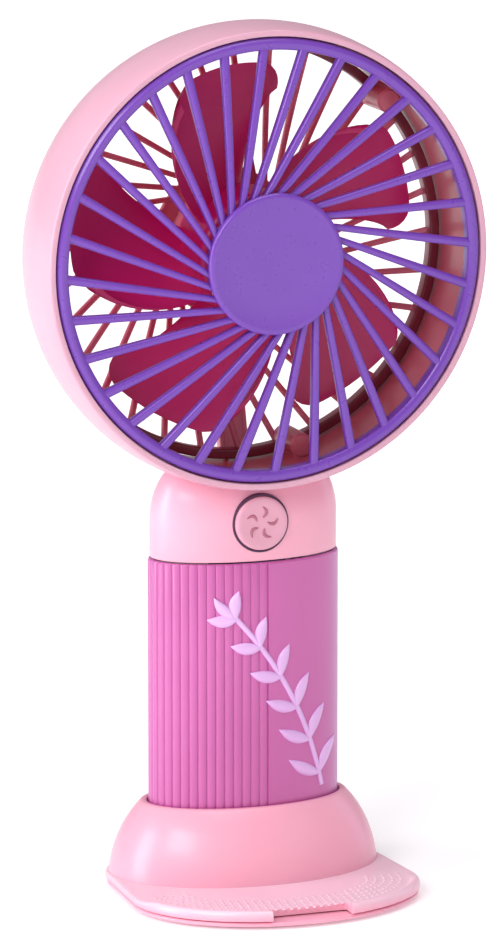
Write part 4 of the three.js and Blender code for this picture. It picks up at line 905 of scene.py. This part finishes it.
# ------------------------------------------------------------------ collar and button
def make_collar():
    """The neck, hollow and cut to the head, with a round hole in front and a slot behind."""
    slope = [(0.55, 0.02), (0.1, 0.06), (0, 0.3), (0, 4.5), (0, 9), (0.18, 10.8), (0.5, 12.4), (1.0, 14.1)]
    slope += [(1.7, 15.7), (2.7, 17.4), (4.1, 19), (5.8, 20.5), (8, 21.8)]
    rows = [oval_row(-COLLAR_INSET - inward, COLLAR_BOTTOM + up) for inward, up in slope]
    body = build("neck_moulding", *rings(rows, False), PINK)
    levels = [(-1.8, -1), (-1.8, 9), (-2.6, 13.3), (-4.2, 14.7)]
    hollow = build("hollow", *rings([oval_row(out, COLLAR_BOTTOM + up) for out, up in levels], False), PINK)
    front = HEAD_FRONT - 3
    back = rear_cap_high[1] + 1.4
    outline = [(AXIS, front), (HEAD_R + GAP, front), *[(radius + GAP, y) for radius, y in shell_side()]]
    outline += [(REAR_R + GAP, HEAD_REAR + 2.8), (REAR_HUB_R + GAP, back), (AXIS, back)]
    envelope = disc_head("envelope", outline, PINK, segments=220)
    hole_r = BEZEL_R + 0.08
    outline = [(AXIS, -30), (hole_r, -30), (hole_r, 0), (AXIS, 0)]
    hole = disc_head("hole", outline, PINK, (0, BUTTON_Z), 96)
    usb = rounded_bar_y("usb_hole", usb_high[0] + GAP, usb_high[2] - BUTTON_Z + GAP, 5, 20, BUTTON_Z)
    way = block("way", (-2.6, HEAD_REAR - 0.2, COLLAR_BOTTOM + 8), (2.6, HEAD_REAR + 2.8, HEAD_Z))
    return carve(body, hollow, envelope, hole, usb, way)


def rounded_bar_y(name, half_width, half_height, y0, y1, z):
    """A bar along Y with round sides."""
    corners = [(i * half_width, j * half_height) for i, j in ((-1, -1), (1, -1), (1, 1), (-1, 1))]
    outline = fillet(corners, half_height * 0.95, 8)
    rows = [[(x, y, z + h) for x, h in outline] for y in (y0, y1)]
    return build(name, *rings(rows, False), PINK)


def bent(piece):
    """Moves the piece's sides back, so that its front follows the collar's curve."""
    wide, deep = (HALF_WIDTH - COLLAR_INSET) * MM, (HALF_DEPTH - COLLAR_INSET) * MM
    for corner in piece.data.vertices:
        corner.co.y += deep * (1 - math.sqrt(1 - (corner.co.x / wide) ** 2))
    return piece


def make_bezel():
    """A thin ring, almost flush with the collar."""
    inner = BEZEL_R - 0.36
    front, back = COLLAR_INSET - HALF_DEPTH - 0.12, bezel_high[1]
    profile = fillet([(inner, front), (BEZEL_R, front), (BEZEL_R, back), (inner, back)], 0.15, 4)
    return bent(build("button_ring", *rings(turned_rows(profile, 0, BUTTON_Z, 96), True), DARK))


def swirl_arm(turn, face):
    """One short curved stroke of the fan sign on the button, whose face is at y = face."""
    stations, sides = 12, 8
    path = bezier((1.3, 0.2), (2.9, -1.0), (3.5, 1.0), stations)
    rows = []
    for k, (px, pz) in enumerate(path):
        wide = 0.14 + 0.26 * math.sin(math.pi * k / stations)
        ahead = path[min(k + 1, stations)]
        behind = path[max(k - 1, 0)]
        dx, dz = ahead[0] - behind[0], ahead[1] - behind[1]
        size = math.hypot(dx, dz)
        row = []
        for a in circle(sides):
            off = wide * math.cos(a)
            x, z = turned_by(px - dz / size * off, pz + dx / size * off, turn)
            y = face - 0.34 * max(0.0, math.sin(a)) + 0.3 * max(0.0, -math.sin(a))
            row.append((x, y, BUTTON_Z + z))
        rows.append(row)
    return rings(rows, False)


def make_button():
    """A slightly dished cap with a raised rim, on its flange, with the fan sign."""
    front = BUTTON_FRONT + 0.25
    radius = BEZEL_R - 0.46
    back = button_high[1]
    step = back - 0.7
    profile = [(AXIS, front + 0.32), (radius * 0.45, front + 0.24), (radius * 0.75, front + 0.06)]
    profile += [(radius - 0.75, front), (radius - 0.3, front + 0.07), (radius - 0.06, front + 0.28)]
    profile += [(radius, front + 0.6), (radius, step)]
    profile += [(BUTTON_FLANGE, step), (BUTTON_FLANGE, back), (AXIS, back)]
    cap = disc_head("button_cap", profile, BUTTON_PINK, (0, BUTTON_Z), 96)
    arms = [swirl_arm(turn, front + 0.27) for turn in circle(SWIRL_ARMS)]
    icon = build("button_icon", *gather(arms), ICON_PINK, 60)
    return merge("button_cap_moulding", [cap, icon])


# ------------------------------------------------------------------ stand
def stand_row(inset, height):
    """Plan outline of the stand, moved in by an inset; height is a number or a function of (x, y)."""
    steps, sides = 60, 10
    foot = DOME_FLARE + DOME_LEDGE - inset
    wide, long = BRIM_HALF_WIDTH - inset, BRIM_LENGTH - inset
    points = []
    for k in range(steps + 1):
        a = math.pi * k / steps
        points.append(((HALF_WIDTH + foot) * math.cos(a), (HALF_DEPTH + foot) * math.sin(a)))
    x1, y1 = points[-1]
    x2, y2 = -wide, BRIM_CENTRE
    left = [(x1 + (x2 - x1) * k / sides, y1 + (y2 - y1) * k / sides) for k in range(1, sides)]
    front = []
    for k in range(2 * steps + 1):
        a = math.pi + math.pi * k / (2 * steps)
        front.append((wide * math.cos(a), BRIM_CENTRE + long * math.sin(a)))
    right = [(-x, y) for x, y in reversed(left)]
    outline = points + left + front + right
    return [(x, y, height(x, y) if callable(height) else height) for x, y in outline]


def lip_height(share, drop):
    """Height over the plan of a line along the brim's raised edge, which fades out towards the dome."""

    def height(x, y):
        fade = min(1.0, max(0.0, (BRIM_CENTRE - 2 - y) / 6))
        return BRIM_TOP + BRIM_LIP * share * fade * fade * (3 - 2 * fade) + drop

    return height


def make_brim():
    rows = [stand_row(2.5, CAP_BOTTOM), stand_row(0.25, CAP_BOTTOM), stand_row(0.06, CAP_BOTTOM + 0.08)]
    rows += [stand_row(0, CAP_BOTTOM + 0.3), stand_row(0, BRIM_TOP - 0.7), stand_row(0.03, BRIM_TOP - 0.45)]
    edge = [(0.16, 0.35, -0.22), (0.4, 0.75, -0.07), (0.8, 1, 0), (1.3, 1, 0), (1.7, 0.8, 0)]
    edge += [(2.1, 0.3, 0), (2.4, 0, 0)]
    rows += [stand_row(inset, lip_height(share, drop)) for inset, share, drop in edge]
    rows.append(stand_row(3.2, BRIM_TOP))
    body = build("brim", *rings(rows, False), CAP_PINK, 40)
    half = NOTCH_WIDTH / 2
    front = BRIM_CENTRE - BRIM_LENGTH
    inner = front + NOTCH_DEPTH
    corners = [(-half, front - 4), (half, front - 4), (half, inner), (-half, inner)]
    outline = fillet(corners, [0, 0, 0.8, 0.8])
    return carve(body, extruded("notch", outline, 0, 12, PINK))


def make_dome():
    """The dome round the socket; its profile points are (out from the handle's oval, z)."""
    side = bezier((DOME_FLARE, 0), (DOME_FLARE - 0.4, DOME_TOP * 0.63), (DOME_RIM, DOME_TOP), 26)
    side = [(out, z) for out, z in side if CAP_BOTTOM + 0.5 < z < DOME_TOP - 0.5]
    profile = [(DOME_FLARE, CAP_BOTTOM + 0.1), *side]
    profile += bezier(side[-1], (DOME_RIM + 0.1, DOME_TOP), (DOME_RIM - 0.4, DOME_TOP), 4)[1:]
    play = SOCKET_PLAY
    profile += bezier((play + 0.3, DOME_TOP), (play, DOME_TOP), (play, DOME_TOP - 0.4), 3)
    profile += [(play, DOME_TOP * 0.6), (play, SOCKET_FLOOR + 0.4), (play - 0.4, SOCKET_FLOOR)]
    return build("dome", *rings([oval_row(out, z) for out, z in profile], False), PINK, 40)


def even_arc(width, length, pitch, start):
    """Points a pitch apart along the brim's curved front, the first of them start pitches in."""
    steps = 2000
    points = []
    left = pitch * start
    before = (-width, BRIM_CENTRE)
    for k in range(1, steps + 1):
        a = math.pi + math.pi * k / steps
        here = (width * math.cos(a), BRIM_CENTRE + length * math.sin(a))
        left -= math.dist(before, here)
        before = here
        if left <= 0:
            points.append(here)
            left += pitch
    return points


def grip_dot(x, y):
    rows = []
    for radius, lift in ((0.42, -0.1), (0.38, 0.06), (0.22, 0.15)):
        z = BRIM_TOP + lift
        rows.append([(x + radius * math.cos(t), y + radius * math.sin(t), z) for t in circle(10)])
    verts, faces = rings(rows, False)
    bottom, top = faces[-2:]
    return verts, [*faces[:-2], top, bottom[::-1]]


def make_grip_dots():
    """Rows of small raised dots on the brim, side by side with its edge and clear of the dome."""
    wide, deep = HALF_WIDTH + DOME_FLARE + 1.2, HALF_DEPTH + DOME_FLARE + 1.2
    dots = []
    for row, inset in enumerate((4.2, 6.0, 7.8, 9.6, 11.4)):
        for x, y in even_arc(BRIM_HALF_WIDTH - inset, BRIM_LENGTH - inset, 1.7, 0.5 * (row % 2)):
            if (x / wide) ** 2 + (y / deep) ** 2 >= 1:
                dots.append(grip_dot(x, y))
    return build("grip_dots", *gather(dots), CAP_PINK, 60)


def make_stand_cap():
    return merge("stand_cap_moulding", [make_brim(), make_dome(), make_grip_dots()])


def make_plate():
    low, high = PLATE_BOTTOM, CAP_BOTTOM - GAP
    rows = [stand_row(3, low), stand_row(0.6, low), stand_row(0.35, low + 0.2), stand_row(0.3, low + 0.4)]
    rows += [stand_row(0.3, high - 0.3), stand_row(0.45, high - 0.08)]
    rows += [stand_row(0.7, high), stand_row(3, high)]
    return build("base_plate_moulding", *rings(rows, False), PINK, 40)


def make_pad():
    low, high = pad_low[2], pad_high[2]
    rows = [stand_row(5, low), stand_row(2.7, low), stand_row(2.5, low + 0.15)]
    rows += [stand_row(2.5, high), stand_row(5, high)]
    return build("foot_pad_sheet", *rings(rows, False), RUBBER, 40)


def place(piece, body, slot, *nodes):
    """Hands a finished piece to its body, in place of its CAD nodes, which it hides."""
    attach(piece, body)
    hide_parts(*nodes)


add_camera()
dress_frame()
place(make_shell(), "fan", "pink_shell", "head_shell")
place(make_front_grille(), "fan", "purple_grille", "front_grille")
place(make_badge(), "fan", "purple_grille", "grille_badge")
place(make_rear_grille(), "fan", "pink_shell", "rear_grille")
place(make_rear_cap(), "fan", "pink_shell", "rear_hub_cap")
place(make_impeller(), "rotor", "crimson_blades", "impeller")
place(make_sleeve(), "fan", "magenta_sleeve", "handle_sleeve")
place(make_sprig(), "fan", "lilac_trim", "sleeve_ornament")
place(make_collar(), "fan", "pink_shell", "neck_collar")
place(make_bezel(), "fan", "dark_trim", "button_bezel")
place(make_button(), "button", "pink_button", "power_button")
place(make_stand_cap(), "stand", "pink_shell", "stand_cap")
place(make_plate(), "stand", "pink_shell", "stand_base_plate")
place(make_pad(), "stand", "rubber_pad", "stand_foot_pad")
add_studio()
